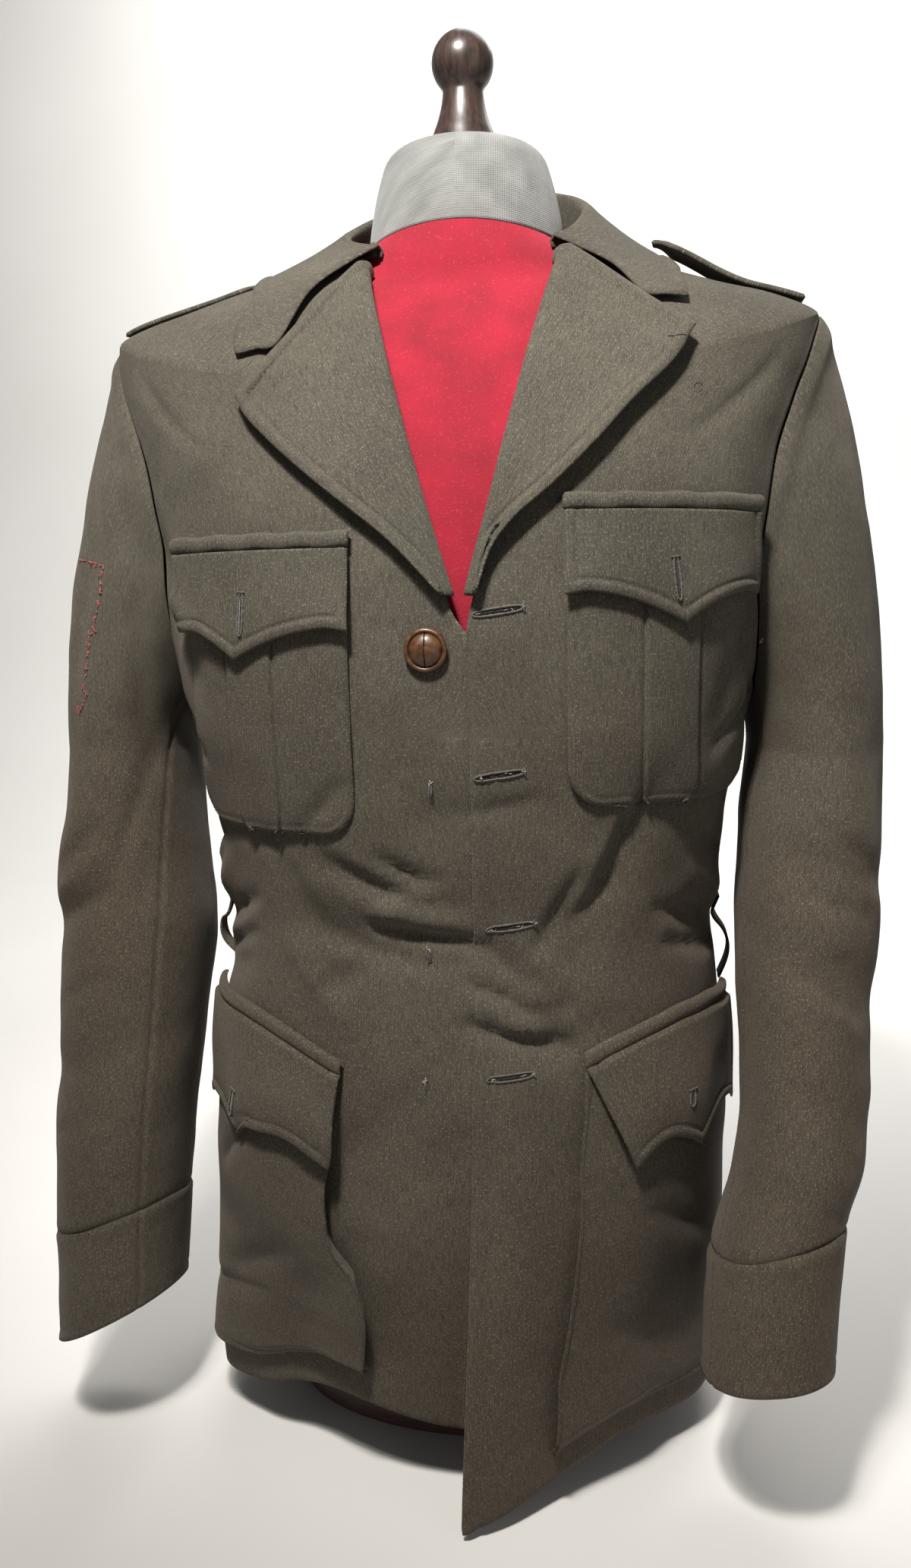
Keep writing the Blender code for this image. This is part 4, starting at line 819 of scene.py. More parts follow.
def cuff_grid(side):
    turn = sleeve_turns()
    top, bottom = SLEEVES[side][-2][0], SLEEVES[side][-1][0]
    rows = []
    for k in range(CUFF_ROWS + 1):
        rows.append(sleeve_section(side, bottom + (top - bottom) * k / CUFF_ROWS, turn))
    grid = np.stack(crease_sleeve(side, rows, SLEEVE_CREASES[side], 9))
    out = unit(grid - grid.mean(axis=1, keepdims=True))
    height = (np.arange(CUFF_ROWS + 1) / CUFF_ROWS * (top - bottom))[:, None]
    seam = top - bottom
    rise = 0.0004 - 0.0009 * bell(height, seam, 0.0016) + 0.0003 * bell(height, seam - 0.004, 0.003)
    rise = rise - 0.0005 * bell(height, 0.006, 0.0014)
    return handed(grid + out * (rise + 0 * grid[..., 0])[..., None], side)


def edge_distance(grid, edges):
    """How far each point lies from the nearest of these edges: bottom, right, top, left."""
    lines = {"bottom": grid[0], "right": grid[:, -1], "top": grid[-1], "left": grid[:, 0]}
    line = np.concatenate([lines[e] for e in edges])
    flat = grid.reshape(-1, 3)
    best = np.full(len(flat), 9.0)
    for k in range(0, len(line), 16):
        gap = np.linalg.norm(flat[:, None, :] - line[None, k:k + 16, :], axis=2).min(axis=1)
        best = np.minimum(best, gap)
    return best.reshape(grid.shape[:2])


def grid_normals(grid, closed=False):
    """Unit normals of a grid of points, out of its front."""
    if closed:
        across = np.roll(grid, -1, axis=1) - np.roll(grid, 1, axis=1)
    else:
        across = np.gradient(grid, axis=1)
    up = np.gradient(grid, axis=0)
    return unit(np.cross(across, up))


PATCH_EDGES = ("bottom", "left", "right")


def raise_edges(grid, edges, inset, ridge, groove, share=1.0, sink=0.0):
    """A turned and topstitched edge: rounded and raised, with a stitched groove beside it."""
    away = edge_distance(grid, edges)
    out = ridge * bell(away, inset * 0.50, inset * 0.42) - groove * bell(away, inset, 0.0010)
    out = out * share - sink * bell(away, 0.0, 0.0022)
    return grid + grid_normals(grid) * out[..., None]


def lapel_grid(side):
    """The lapel wraps the front's edge and lies back on the chest; its rows run up the roll."""
    x0, z0, x1, z1 = LAPEL_ROLL[side]
    share = np.linspace(0.0, 1.0, LAPEL_ROWS)[:, None]
    roll_x, roll_z = x0 + (x1 - x0) * share, z0 + (z1 - z0) * share
    edge_x = look_up(LAPEL_EDGE[side], 1, share)
    edge_z = look_up(LAPEL_EDGE[side], 2, share)
    at = np.concatenate([np.linspace(0, 4, 22)[:-1], np.linspace(4, 9, LAPEL_COLUMNS - 21)])
    column = [smooth(range(10), [row[k] for row in LAPEL_ACROSS], at)[None, :] for k in range(3)]
    x = roll_x + (edge_x - roll_x) * column[0] + column[1] * SIGN[side]
    z = roll_z + (edge_z - roll_z) * column[0]
    grid = lie_on_front(side, x, z, column[2] + 0 * x)
    grid = handed(grid, side)
    edges = ("right", "top") if side == "left" else ("left", "top")
    near = bell(edge_distance(grid, edges), 0.0, 0.011)
    lifted = {"left": 0.0022, "right": 0.0008}[side] * near
    return raise_edges(grid + grid_normals(grid) * lifted[..., None], edges, 0.0068, 0.0013, 0.0011,
                       ease(share, 0.03, 0.20))


def collar_grid():
    """The collar: up the fall from its edge, over the roll, and down the stand inside."""
    gorge = COLLAR_STATIONS[0][0]
    turn = np.linspace(gorge, 360.0 - RIGHT_GORGE, COLLAR_COLUMNS)
    on_left = turn <= 180.0
    mirrored = gorge + (360.0 - turn - RIGHT_GORGE) * (180.0 - gorge) / (180.0 - RIGHT_GORGE)
    half = np.where(on_left, turn, mirrored)
    stand = np.where(on_left, look_up(COLLAR_STATIONS, 1, half), look_up(COLLAR_STATIONS, 2, half))
    lean = look_up(COLLAR_STATIONS, 3, half)
    edge_angle_of, edge_height_of, notch_angle, notch_height = [], [], [], []
    for side, angle_column in (("left", 4), ("right", 5)):
        tip_angle, tip_height = seat(*COLLAR_TIPS[side])
        low_angle, low_height = seat(*COLLAR_NOTCHES[side])
        knots = [row[0] for row in COLLAR_STATIONS]
        angles = [abs(math.degrees(tip_angle))] + [row[angle_column] for row in COLLAR_STATIONS[1:]]
        heights = [float(tip_height)] + [row[6] for row in COLLAR_STATIONS[1:]]
        edge_angle_of.append(smooth(knots, angles, half))
        edge_height_of.append(smooth(knots, heights, half))
        notch_angle.append(abs(math.degrees(low_angle)))
        notch_height.append(float(low_height))
    pick = np.where(on_left, 0, 1)
    place = np.arange(len(turn))
    edge_turn = np.array(edge_angle_of)[pick, place]
    edge_height = np.array(edge_height_of)[pick, place]
    base_turn = np.where(on_left, turn, 360.0 - turn)
    near_end = 1 - ease(half, gorge, gorge + 12.0)
    rows = []
    for v in COLLAR_FALL:
        kink = 1 - abs(v - 0.6) / (0.4 if v > 0.6 else 0.6)
        straight_turn = base_turn + (edge_turn - base_turn) * v
        straight_height = NECKLINE + (edge_height - NECKLINE) * v
        kinked_turn = straight_turn + near_end * kink * (
            np.array(notch_angle)[pick] - (base_turn + (edge_turn - base_turn) * 0.6))
        kinked_height = straight_height + near_end * kink * (
            np.array(notch_height)[pick] - (NECKLINE + (edge_height - NECKLINE) * 0.6))
        signed = np.radians(np.where(on_left, kinked_turn, 360.0 - kinked_turn))
        points = lie(signed, kinked_height, COLLAR_OUT - 0.001 * v + 0 * signed)
        rise = (1 - v) ** 1.15 * stand
        rows.append(raise_and_lean(points, signed, rise, lean * (1 - v)))
    roll = rows[-1]
    signed = np.radians(turn)
    rows.append(raise_and_lean(roll, signed, 0.0016 + 0 * stand, 0.0030 + 0 * stand))
    rows.append(raise_and_lean(roll, signed, -0.0008 + 0 * stand, 0.0062 + 0 * stand))
    base = body(signed, NECKLINE + 0 * signed)
    foot = raise_and_lean(base, signed, 0.0014 + 0 * stand, 0.0035 + 0 * stand)
    rows.append((rows[-1] + foot) / 2)
    rows.append(foot)
    grid = refine(np.stack(rows), COLLAR_ROWS, COLLAR_COLUMNS)
    return raise_edges(grid, PATCH_EDGES, 0.0068, 0.0012, 0.0010)


def raise_and_lean(points, angle, rise, lean):
    """Points moved up, and in towards the neck."""
    return points + np.stack([-np.sin(angle) * lean, np.cos(angle) * lean, rise + 0 * angle], axis=-1)


def shoulder_place(side, x, y):
    """The angle and height of the shoulder's top at x and y."""
    heights = np.linspace(SHOULDER_TIP, NECKLINE, 60)
    sizes = ring_sizes(heights)
    reach = sizes["middle_x"] + SIGN[side] * sizes["half_width"]
    height = np.interp(SIGN[side] * x, (SIGN[side] * reach)[::-1], heights[::-1])
    ring = ring_sizes(height)
    depth = np.where(y < 0, ring["front"], ring["back"])
    cosine = (np.abs(y) / depth) ** (1 / ring["square"])
    tilt = np.where(y < 0, np.arccos(cosine), math.pi - np.arccos(cosine))
    return tilt * SIGN[side], height


def strap_grid(side):
    """The shoulder strap: sewn in at the sleeve, with a lifted, pointed inner end."""
    share = np.linspace(0.0, 1.0, 60)[:, None]
    across = np.linspace(-1.0, 1.0, 28)[None, :]
    outer, inner, lift = STRAPS[side]
    wide = STRAP_HALF * (1 - 0.12 * share) * (1 - 0.72 * ease(share, 0.84, 1.0))
    x = SIGN[side] * (outer + (inner - outer) * share) + 0 * across
    y = STRAP_Y + wide * across
    angle, height = shoulder_place(side, x, y)
    out = 0.0036 + lift * ease(share, 0.30, 0.95) + 0.0010 * (1 - across ** 2) + 0 * share
    points = body(angle, height)
    points[..., 2] += out
    edges = ("left", "right", "top")
    return raise_edges(handed(points, side), edges, 0.0050, 0.0006, 0.0006)


def welt_grid(side):
    """A raised, corded welt over the pocket's mouth."""
    inner, outer, middle, *_rest = CHEST_POCKETS[side]
    x = inner + (outer - inner) * np.linspace(0.0, 1.0, 70)[None, :]
    up = np.linspace(-1.0, 1.0, 16)[:, None]
    out = 0.0046 + 0.0024 * np.sqrt(np.maximum(1 - up ** 2, 0.0)) - 0.0010 * ease(up, 0.5, 1.0)
    z = middle + WELT_HALF * up + 0.0004 * np.sin(x * 260)
    return handed(lie_on_front(side, x + 0 * up, z, out + 0 * x), side)


def chest_flap_grid(side):
    """The flap hangs from under the welt; its lower edge runs in two hollows to a middle point."""
    inner, outer, welt, point, _pleat = CHEST_POCKETS[side]
    top = welt - WELT_HALF - 0.0007
    middle = (point - inner) / (outer - inner)
    share = np.linspace(0.0, 1.0, 81)[None, :]
    x = inner + (outer - inner) * share
    away = np.where(share < middle, (middle - share) / middle, (share - middle) / (1 - middle))
    low = top - FLAP_DROP - FLAP_POINT * (1 - away) ** 2.2 - 0.002 * ease(away, 0.8, 1.0)
    down = np.linspace(1.0, 0.0, 48)[:, None]
    out = 0.0066 + 0.0022 * ease(down, 0.2, 1.0) - 0.0010 * away ** 2
    out = out + 0.0006 * np.sin(share * 9 + 1.3) * ease(down, 0.5, 1.0)
    grid = handed(lie_on_front(side, x + 0 * down, top + (low - top) * down, out + 0 * x), side)
    return raise_edges(grid, PATCH_EDGES, 0.0060, 0.0007, 0.0008)


def chest_pocket_grid(side):
    """A patch with round lower corners and a raised box pleat down its middle."""
    inner, outer, welt, _point, pleat_x = CHEST_POCKETS[side]
    top, bottom = welt - 0.016, welt - POCKET_DROP
    inset = POCKET_INSET * SIGN[side]
    inner, outer = inner + inset, outer - inset
    half, middle = abs(outer - inner) / 2, (inner + outer) / 2
    pleat = (pleat_x - middle) * SIGN[side]
    even = np.linspace(-half, half, 76)
    close = [pleat + s * (PLEAT_HALF + d) for s in (-1, 1) for d in (-0.0012, -0.0002, 0.0004, 0.0012)]
    across = np.sort(np.concatenate([even, close]))[None, :]
    z = np.concatenate([bottom + POCKET_CORNER * (1 - np.cos(np.linspace(0, math.pi / 2, 16))),
                        np.linspace(bottom + POCKET_CORNER, top, 62)[1:]])[:, None]
    drop = np.clip(bottom + POCKET_CORNER - z, 0.0, POCKET_CORNER)
    corner = POCKET_CORNER - np.sqrt(POCKET_CORNER ** 2 - drop ** 2)
    squeeze = 1 - 0.92 * corner / half
    from_pleat = np.abs(across - pleat)
    raised = PLEAT_RAISE * (1 - ease(from_pleat, PLEAT_HALF - 0.0004, PLEAT_HALF + 0.0006))
    raised = raised - 0.0010 * bell(from_pleat, PLEAT_HALF + 0.0011, 0.0008)
    x = middle + across * squeeze * SIGN[side]
    out = POCKET_OUT + 0.0016 * ease(np.abs(x), 0.115, 0.150) * ease(bottom + 0.045 - z, 0.0, 0.040)
    wavy = 0.0006 * mottle(np.stack(np.broadcast_arrays(x, 0 * x, z), axis=-1), 0.022, 11)
    grid = handed(lie_on_front(side, x, z + 0 * across, out + raised + wavy), side)
    return raise_edges(grid, PATCH_EDGES, 0.0045, 0.0003, 0.0005, sink=0.0012)


def lower_top(side, angle):
    """Height of the lower pocket's top line at an angle."""
    return look_up(LOWER_TOPS[side], 1, np.degrees(np.abs(angle)))


def lower_pocket_lines(side, up):
    """Inner angle of the bellows pocket at these shares of its height."""
    bottom = LOWER_POCKETS[side][1]
    return angle_at(look_up(LOWER_LINES[side], 1, up), bottom + (LOWER_TOPS[side][0][1] - bottom) * up)


def lower_across(side, share):
    """Angles across the lower pocket's top at these shares of its width."""
    start = lower_pocket_lines(side, np.array(1.0))
    return start + (math.radians(LOWER_POCKETS[side][0]) - start) * share


def lower_pocket_grid(side):
    """A bellows patch that wraps to the side, open above under its flap."""
    outer, bottom, *_flap = LOWER_POCKETS[side]
    up = np.concatenate([np.linspace(0.0, 0.06, 12)[:-1], np.linspace(0.06, 0.97, 72)])[:, None]
    at = np.concatenate([np.linspace(0, 1, 9)[:-1], np.linspace(1, 7, 62)])
    share = smooth(range(8), [0.03, 0.0, 0.12, 0.3, 0.5, 0.7, 0.9, 1.0], at)[None, :]
    inner = lower_pocket_lines(side, up)
    angle = inner + (math.radians(outer) - inner) * share
    height = bottom + (lower_top(side, lower_across(side, share)) - bottom) * up
    stand = smooth(range(8), [0.0, 1.0, 1.0, 0.85, 0.45, 0.12, 0.0, 0.0], at)[None, :]
    foot = smooth([0.0, 0.05, 0.2, 0.4, 0.5, 0.65, 0.8, 0.97],
                  [0.0, 1.0, 1.0, 1.0, 1.0, 0.9, 0.6, 0.08], up)
    out = LOWER_SEAT[side] + BELLOWS * stand * foot + LOWER_FOOT[side] * share * (1 - ease(up, 0.0, 0.2))
    out = out + (0.0012 * mottle(plain_body(angle, height), 0.030, 13) - 0.0004) * ease(up, 0.03, 0.15)
    grid = handed(hang_hem(lie(angle, height, out), side), side)
    return raise_edges(grid, ("bottom",), 0.0040, 0.0004, 0.0005)


def lower_flap_grid(side):
    """The flap over the bellows pocket: two arches with a point between, its inner corner flipped out."""
    corner, point = LOWER_POCKETS[side][2:]
    share = np.linspace(0.0, 1.0, 79)[None, :]
    down = np.linspace(1.0, 0.0, 50)[:, None]
    top = lower_across(side, share)
    swing = np.radians(smooth([0.0, 0.5, 1.0], FLAP_SWING[side], share)) * SIGN[side]
    in_half = 1 - np.abs(share - 0.5) * 2
    high = lower_top(side, top) - 0.0040
    low = corner + (point - corner) * in_half + FLAP_ARCH * 4 * in_half * (1 - in_half)
    angle = top + swing * down
    height = high + (low - high) * down
    close = 1 - ease(share, 0.35, 0.75)
    out = 0.0074 + (0.0090 * ease(down, 0.0, 0.8)) * close
    out = out + 0.0008 * mottle(plain_body(angle, height), 0.024, 15) * ease(down, 0.1, 0.5)
    out = out - 0.0030 * (1 - ease(down, 0.0, 0.05))
    grid = handed(lie(angle, height, out), side)
    return raise_edges(grid, PATCH_EDGES, 0.0060, 0.0007, 0.0008)


def lower_welt_grid(side):
    up = np.linspace(-1.0, 1.0, 16)[:, None]
    angle = lower_across(side, np.linspace(0.0, 1.0, 76)[None, :])
    out = WELT_SEAT + 0.0006 + 0.0024 * np.sqrt(np.maximum(1 - up ** 2, 0.0)) - 0.0008 * ease(up, 0.5, 1.0)
    height = lower_top(side, angle) + 0.0045 * up
    return handed(lie(angle + 0 * up, height, out + 0 * angle), side)


def belt_loop_grid(side):
    """A narrow loop at the side seam, for the belt that goes with the jacket."""
    middle, top, bottom, bow = BELT_LOOPS[side]
    share = np.linspace(0.0, 1.0, 44)[:, None]
    width = np.radians(np.linspace(-2.2, 2.2, 14))[None, :]
    height = bottom + (top - bottom) * share + 0 * width
    out = 0.0021 + bow * np.sin(math.pi * np.clip(1.25 * share, 0.0, 1.0)) + 0 * width
    return raise_edges(lie(math.radians(middle) + width + 0 * share, height, out),
                       ("left", "right"), 0.0022, 0.0003, 0.0003)


def ring_ids(index, closed):
    """Each open edge of a grid as a loop of point numbers, with the numbers next to them inside."""
    if closed:
        return [(index[0, :-1], index[1, :-1]), (index[-1, -2::-1], index[-2, -2::-1])]
    edge = [index[0], index[1:, -1], index[-1, -2::-1], index[-2:0:-1, 0]]
    near = [index[1], index[1:, -2], index[-2, -2::-1], index[-2:0:-1, 1]]
    return [(np.concatenate(edge), np.concatenate(near))]


def cells(grid):
    """The four corners of every cell of a grid, in order round it."""
    corners = [grid[:-1, :-1], grid[:-1, 1:], grid[1:, 1:], grid[1:, :-1]]
    return np.stack(corners, axis=2).reshape(-1, 4, *grid.shape[2:])


def flat_places(points, index, middle):
    """Where each point lies on the flat cloth, across from this column and up from the first row."""
    step = np.linalg.norm(points[index[:, 1:]] - points[index[:, :-1]], axis=2)
    across = np.concatenate([np.zeros((len(index), 1)), np.cumsum(step, axis=1)], axis=1)
    across = across - across[:, middle][:, None]
    climb = np.linalg.norm(points[index[1:]] - points[index[:-1]], axis=2).mean(axis=1)
    up = np.concatenate([[0.0], np.cumsum(climb)])[:, None] + 0 * across
    return np.stack([across, up], axis=-1)


def put(name, data):
    """A new object of this mesh, light or camera, in the scene."""
    thing = bpy.data.objects.new(name, data)
    bpy.context.scene.collection.objects.link(thing)
    return thing


def put_mesh(name, points, faces, finishes, places=None):
    """A new smooth object; places give its lengths on the flat cloth, corner by corner."""
    mesh = bpy.data.meshes.new(name)
    mesh.from_pydata(np.asarray(points).tolist(), [], faces)
    if places is not None:
        layer = mesh.uv_layers.new(name="cloth")
        layer.data.foreach_set("uv", places.reshape(-1).astype(np.float32))
    for finish in finishes:
        mesh.materials.append(finish)
    mesh.shade_smooth()
    mesh.update()
    return put(name, mesh)


def shell(name, grid, wall, finishes, closed=False):
    """A cloth wall with rounded edges: its outer surface is the grid, and the wall goes inwards."""
    rows, columns = grid.shape[:2]
    inside = grid - grid_normals(grid, closed) * wall
    count = rows * columns
    index = np.arange(count).reshape(rows, columns)
    if closed:
        index = np.concatenate([index, index[:, :1]], axis=1)
    points = [grid.reshape(-1, 3), inside.reshape(-1, 3)]
    flat = points[0]
    place = flat_places(flat, index, columns // 2)
    outer, spread = cells(index), cells(place)
    faces = [outer, outer[:, ::-1] + count]
    places = [spread, spread[:, ::-1]]
    flat_place = np.zeros((count, 2))
    flat_place[index.reshape(-1)] = place.reshape(-1, 2)
    base = 2 * count
    for edge, near in ring_ids(index, closed):
        out = unit(flat[edge] - flat[near])
        middle = (flat[edge] + points[1][edge]) / 2 + out * wall * EDGE_BULGE
        points.append(middle)
        a, b = edge, np.roll(edge, -1)
        am = base + np.arange(len(edge))
        bm = np.roll(am, -1)
        faces += [np.stack([b, a, am, bm], axis=1), np.stack([bm, am, a + count, b + count], axis=1)]
        pa, pb = flat_place[a], flat_place[b]
        places += [np.stack([pb, pa, pa, pb], axis=1)] * 2
        base += len(edge)
    points, faces, places = np.concatenate(points), np.concatenate(faces), np.concatenate(places)
    thing = put_mesh(name, points, faces.tolist(), finishes, places)
    slots = np.zeros(len(faces), np.int32)
    slots[len(outer):2 * len(outer)] = len(finishes) - 1
    thing.data.polygons.foreach_set("material_index", slots)
    return thing


def run_length(line):
    """How far along a line each of its points lies."""
    return np.concatenate([[0], np.cumsum(np.linalg.norm(np.diff(line, axis=0), axis=1))])


def tube_faces(count, sides):
    """Faces between the rings of a thread."""
    faces = []
    for i in range(count - 1):
        for j in range(sides):
            k = (j + 1) % sides
            faces.append((i * sides + j, i * sides + k, (i + 1) * sides + k, (i + 1) * sides + j))
    return faces


def yarn(line, normals, thick, sides=6, ends=0.5):
    """Points and faces of a round thread along a line; thick is its radius at each point."""
    line = np.asarray(line, float)
    ahead = unit(np.gradient(line, axis=0))
    beside = unit(np.cross(ahead, normals))
    up = np.cross(beside, ahead)
    thick = np.broadcast_to(thick, len(line)).copy()
    turn = (np.arange(sides) * 2 * math.pi / sides)[None, :, None]
    round_it = np.cos(turn) * beside[:, None, :] + np.sin(turn) * up[:, None, :]
    points = line[:, None, :] + round_it * thick[:, None, None]
    tips = np.stack([line[0] - ahead[0] * thick[0] * ends, line[-1] + ahead[-1] * thick[-1] * ends])
    count = len(line)
    faces = tube_faces(count, sides)
    first, last = count * sides, count * sides + 1
    for j in range(sides):
        k = (j + 1) % sides
        faces.append((first, k, j))
        faces.append((last, (count - 1) * sides + j, (count - 1) * sides + k))
    return np.concatenate([points.reshape(-1, 3), tips]), faces


def gather(name, parts, finish):
    """One object from many small pieces, each its points and faces."""
    points, faces, base = [], [], 0
    for p, f in parts:
        points.append(p)
        faces += [tuple(i + base for i in face) for face in f]
        base += len(p)
    return put_mesh(name, np.concatenate(points), faces, [finish])


def inset_line(grid, edge, inset, trim_start=0.0, trim_end=0.0):
    """Points and normals a fixed distance in from one edge of a grid."""
    normals = grid_normals(grid)
    if edge in ("left", "right"):
        lines, facing = grid, normals
    else:
        lines, facing = grid.transpose(1, 0, 2), normals.transpose(1, 0, 2)
    if edge in ("right", "top"):
        lines, facing = lines[:, ::-1], facing[:, ::-1]
    away = np.concatenate([np.zeros((len(lines), 1)),
                           np.cumsum(np.linalg.norm(np.diff(lines, axis=1), axis=2), axis=1)], axis=1)
    found, faced = [], []
    for line, normal, far in zip(lines, facing, away):
        found.append([np.interp(inset, far, line[:, k]) for k in range(3)])
        faced.append([np.interp(inset, far, normal[:, k]) for k in range(3)])
    found, faced = np.array(found), np.array(faced)
    run = run_length(found)
    keep = (run >= trim_start) & (run <= run[-1] - trim_end)
    return found[keep], faced[keep]


def stitches(line, normals, pitch=0.0028, length=0.0019, thick=0.00022, seed=0):
    """A row of stitches: each a small spindle that dips into the cloth at both ends."""
    run = run_length(line)
    count = int(run[-1] / pitch)
    jitter = np.random.default_rng(seed)
    made = []
    for i in range(count):
        start = (i + 0.15 + 0.1 * jitter.random()) * pitch
        at = np.array([start, start + length / 2, start + length])
        p = np.stack([np.interp(at, run, line[:, k]) for k in range(3)], axis=1)
        n = np.array([np.interp(at[1], run, normals[:, k]) for k in range(3)])
        ahead = p[2] - p[0]
        beside = unit(np.cross(ahead, n))
        points = np.array([p[0] - n * 0.0001, p[1] + n * thick * 1.5, p[1] + beside * thick,
                           p[1] - n * thick * 0.6, p[1] - beside * thick, p[2] - n * 0.0001])
        faces = [(0, 1, 2), (0, 2, 3), (0, 3, 4), (0, 4, 1), (5, 2, 1), (5, 3, 2), (5, 4, 3), (5, 1, 4)]
        made.append((points, faces))
    return made


def find_on(grid, x, z):
    """The point and normal of a cloth's front at this x and z."""
    normal = grid_normals(grid)
    off = (grid[..., 0] - x) ** 2 + (grid[..., 2] - z) ** 2 + np.where(normal[..., 1] > -0.15, 1.0, 0.0)
    i, j = np.unravel_index(np.argmin(off), off.shape)
    point, facing = grid[i, j], normal[i, j]
    y = point[1] - (facing[0] * (x - point[0]) + facing[2] * (z - point[2])) / facing[1]
    return np.array([x, y, z]), facing


def run_on(grid, places, lift):
    """A line on a cloth through these x and z places, with its normals."""
    found = [find_on(grid, x, z) for x, z in places]
    points = np.array([p for p, _n in found])
    normals = np.array([n for _p, n in found])
    return points + normals * np.asarray(lift, float).reshape(-1, 1), normals


def hole_places(x, z, length, tilt, width, count):
    """x and z round a buttonhole: a long narrow oval with its middle at x and z."""
    turn = np.arange(count) * 2 * math.pi / count
    along = length / 2 * np.sign(np.cos(turn)) * np.abs(np.cos(turn)) ** 0.6
    beside = width / 2 * np.sign(np.sin(turn)) * np.abs(np.sin(turn)) ** 0.8
    c, s = math.cos(tilt), math.sin(tilt)
    return [(x + a * c - b * s, z + a * s + b * c) for a, b in zip(along, beside)]


def buttonhole(grid, x, z, length, tilt, seed, width=0.0034):
    """The purled ring of thread round a buttonhole, a near-black pad of painted shade for the slit in it,
    and its bar.
    """
    jitter = np.random.default_rng(seed)
    places = hole_places(x, z, length, tilt, width, 112)
    line, normals = run_on(grid, places + places[:1], 0.0003)
    wound = 0.00013 * np.sin(np.arange(len(line)) * 2 * math.pi / 3.1)
    thick = 0.00058 + wound + 0.00006 * jitter.standard_normal(len(line))
    purl = [yarn(line, normals, np.maximum(thick, 0.0003))]
    c, s = math.cos(tilt), math.sin(tilt)
    end = length / 2 + 0.0002
    across = [(x + end * c - b * s, z + end * s + b * c) for b in np.linspace(-0.0022, 0.0022, 7)]
    bar, facing = run_on(grid, across, 0.0006)
    purl.append(yarn(bar, facing, 0.0005))
    # the slit is a flat pad of painted shade lying a hair above the cloth
    inside = [(x + a * c, z + a * s) for a in np.linspace(-0.47, 0.47, 15) * length]
    gap, facing = run_on(grid, inside, 0.00005)
    wide = 0.00105 * np.sqrt(np.clip(1 - np.linspace(-1, 1, 15) ** 4, 0.04, 1.0))
    slit = flat_lens(gap, facing, wide)
    return purl, [slit]


def flat_lens(line, normals, wide):
    """A long thin pad on the cloth, wide in its middle."""
    beside = unit(np.cross(np.gradient(line, axis=0), normals))
    wide = np.broadcast_to(wide, len(line))[:, None]
    rows = [line - beside * wide, line + normals * 0.00018, line + beside * wide, line - normals * 0.0003]
    points = np.stack(rows, axis=1).reshape(-1, 3)
    last = (len(line) - 1) * 4
    return points, tube_faces(len(line), 4) + [(3, 2, 1, 0), (last, last + 1, last + 2, last + 3)]


def loose_threads(grid, x, z, count, spread, length, seed, thick=0.00016):
    """A tuft of cut or frayed threads, each curling off the cloth."""
    jitter = np.random.default_rng(seed)
    tuft = []
    for _ in range(count):
        root_x = x + spread * jitter.uniform(-1, 1)
        root, facing = find_on(grid, root_x, z + 0.3 * spread * jitter.uniform(-1, 1))
        side = np.cross(facing, [0.0, 0.0, 1.0])
        lean = jitter.uniform(-1, 1) * side + jitter.uniform(-0.9, 0.7) * np.array([0.0, 0.0, 1.0])
        lean = unit(lean)
        curl = jitter.uniform(-0.5, 0.5)
        far = length * jitter.uniform(0.45, 1.0)
        t = np.linspace(0, 1, 8)[:, None]
        line = root + lean * far * t + np.cross(lean, facing) * far * curl * t ** 2
        line = line + facing * (0.0001 + 0.0011 * np.sin(math.pi * t * 0.9))
        tuft.append(yarn(line, np.repeat(facing[None], 8, axis=0), thick, sides=4))
    return tuft


def hanging_threads(grid, x, z, count, length, seed):
    """The ends left where a button was cut off: they hang down together from one place."""
    jitter = np.random.default_rng(seed)
    t = np.linspace(0, 1, 8)[:, None]
    tuft = []
    for _ in range(count):
        root_x = x + 0.0007 * jitter.uniform(-1, 1)
        root, facing = find_on(grid, root_x, z + 0.0005 * jitter.uniform(-1, 1))
        beside = np.cross(facing, [0.0, 0.0, 1.0]) * 0.0011 * jitter.uniform(-1, 1)
        down = np.array([0.0, 0.0, -length * jitter.uniform(0.35, 1.0)])
        line = root + down * t + beside * np.sin(t * jitter.uniform(2.0, 4.5))
        line = line + facing * (0.0003 + 0.0010 * np.sin(math.pi * t))
        tuft.append(yarn(line, np.repeat(facing[None], 8, axis=0), 0.00024, sides=5))
    return tuft


def broken_thread(grid, places, seed):
    """Short ends of an unpicked seam along a line of x and z places, some bent off the cloth."""
    jitter = np.random.default_rng(seed)
    places = np.asarray(places)
    run = run_length(places)
    ends = []
    at = 0.0
    while at < run[-1] - 0.003:
        far = at + jitter.uniform(0.0012, 0.0032)
        steps = np.linspace(at, far, 5)
        spots = [(np.interp(s, run, places[:, 0]) + 0.0003 * jitter.standard_normal(),
                  np.interp(s, run, places[:, 1]) + 0.0002 * jitter.standard_normal()) for s in steps]
        line, facing = run_on(grid, spots, 0.0001 + 0.0004 * np.sin(np.linspace(0.3, 2.8, 5)))
        ends.append(yarn(line, facing, 0.00034, sides=5))
        if jitter.random() < 0.75:
            ends += loose_threads(grid, *spots[-1], 2, 0.0010, 0.0034, int(1000 * at) + seed, 0.00022)
        at = far + jitter.uniform(0.0010, 0.0052)
    return ends


def form_ring(x, z, half_width, half_depth, slope=0.0, arch=0.0, count=96):
    turn = np.arange(count) * 2 * math.pi / count
    y = -half_depth * np.cos(turn)
    return np.stack([x + half_width * np.sin(turn), y, z + slope * y + arch * y ** 2], axis=1)


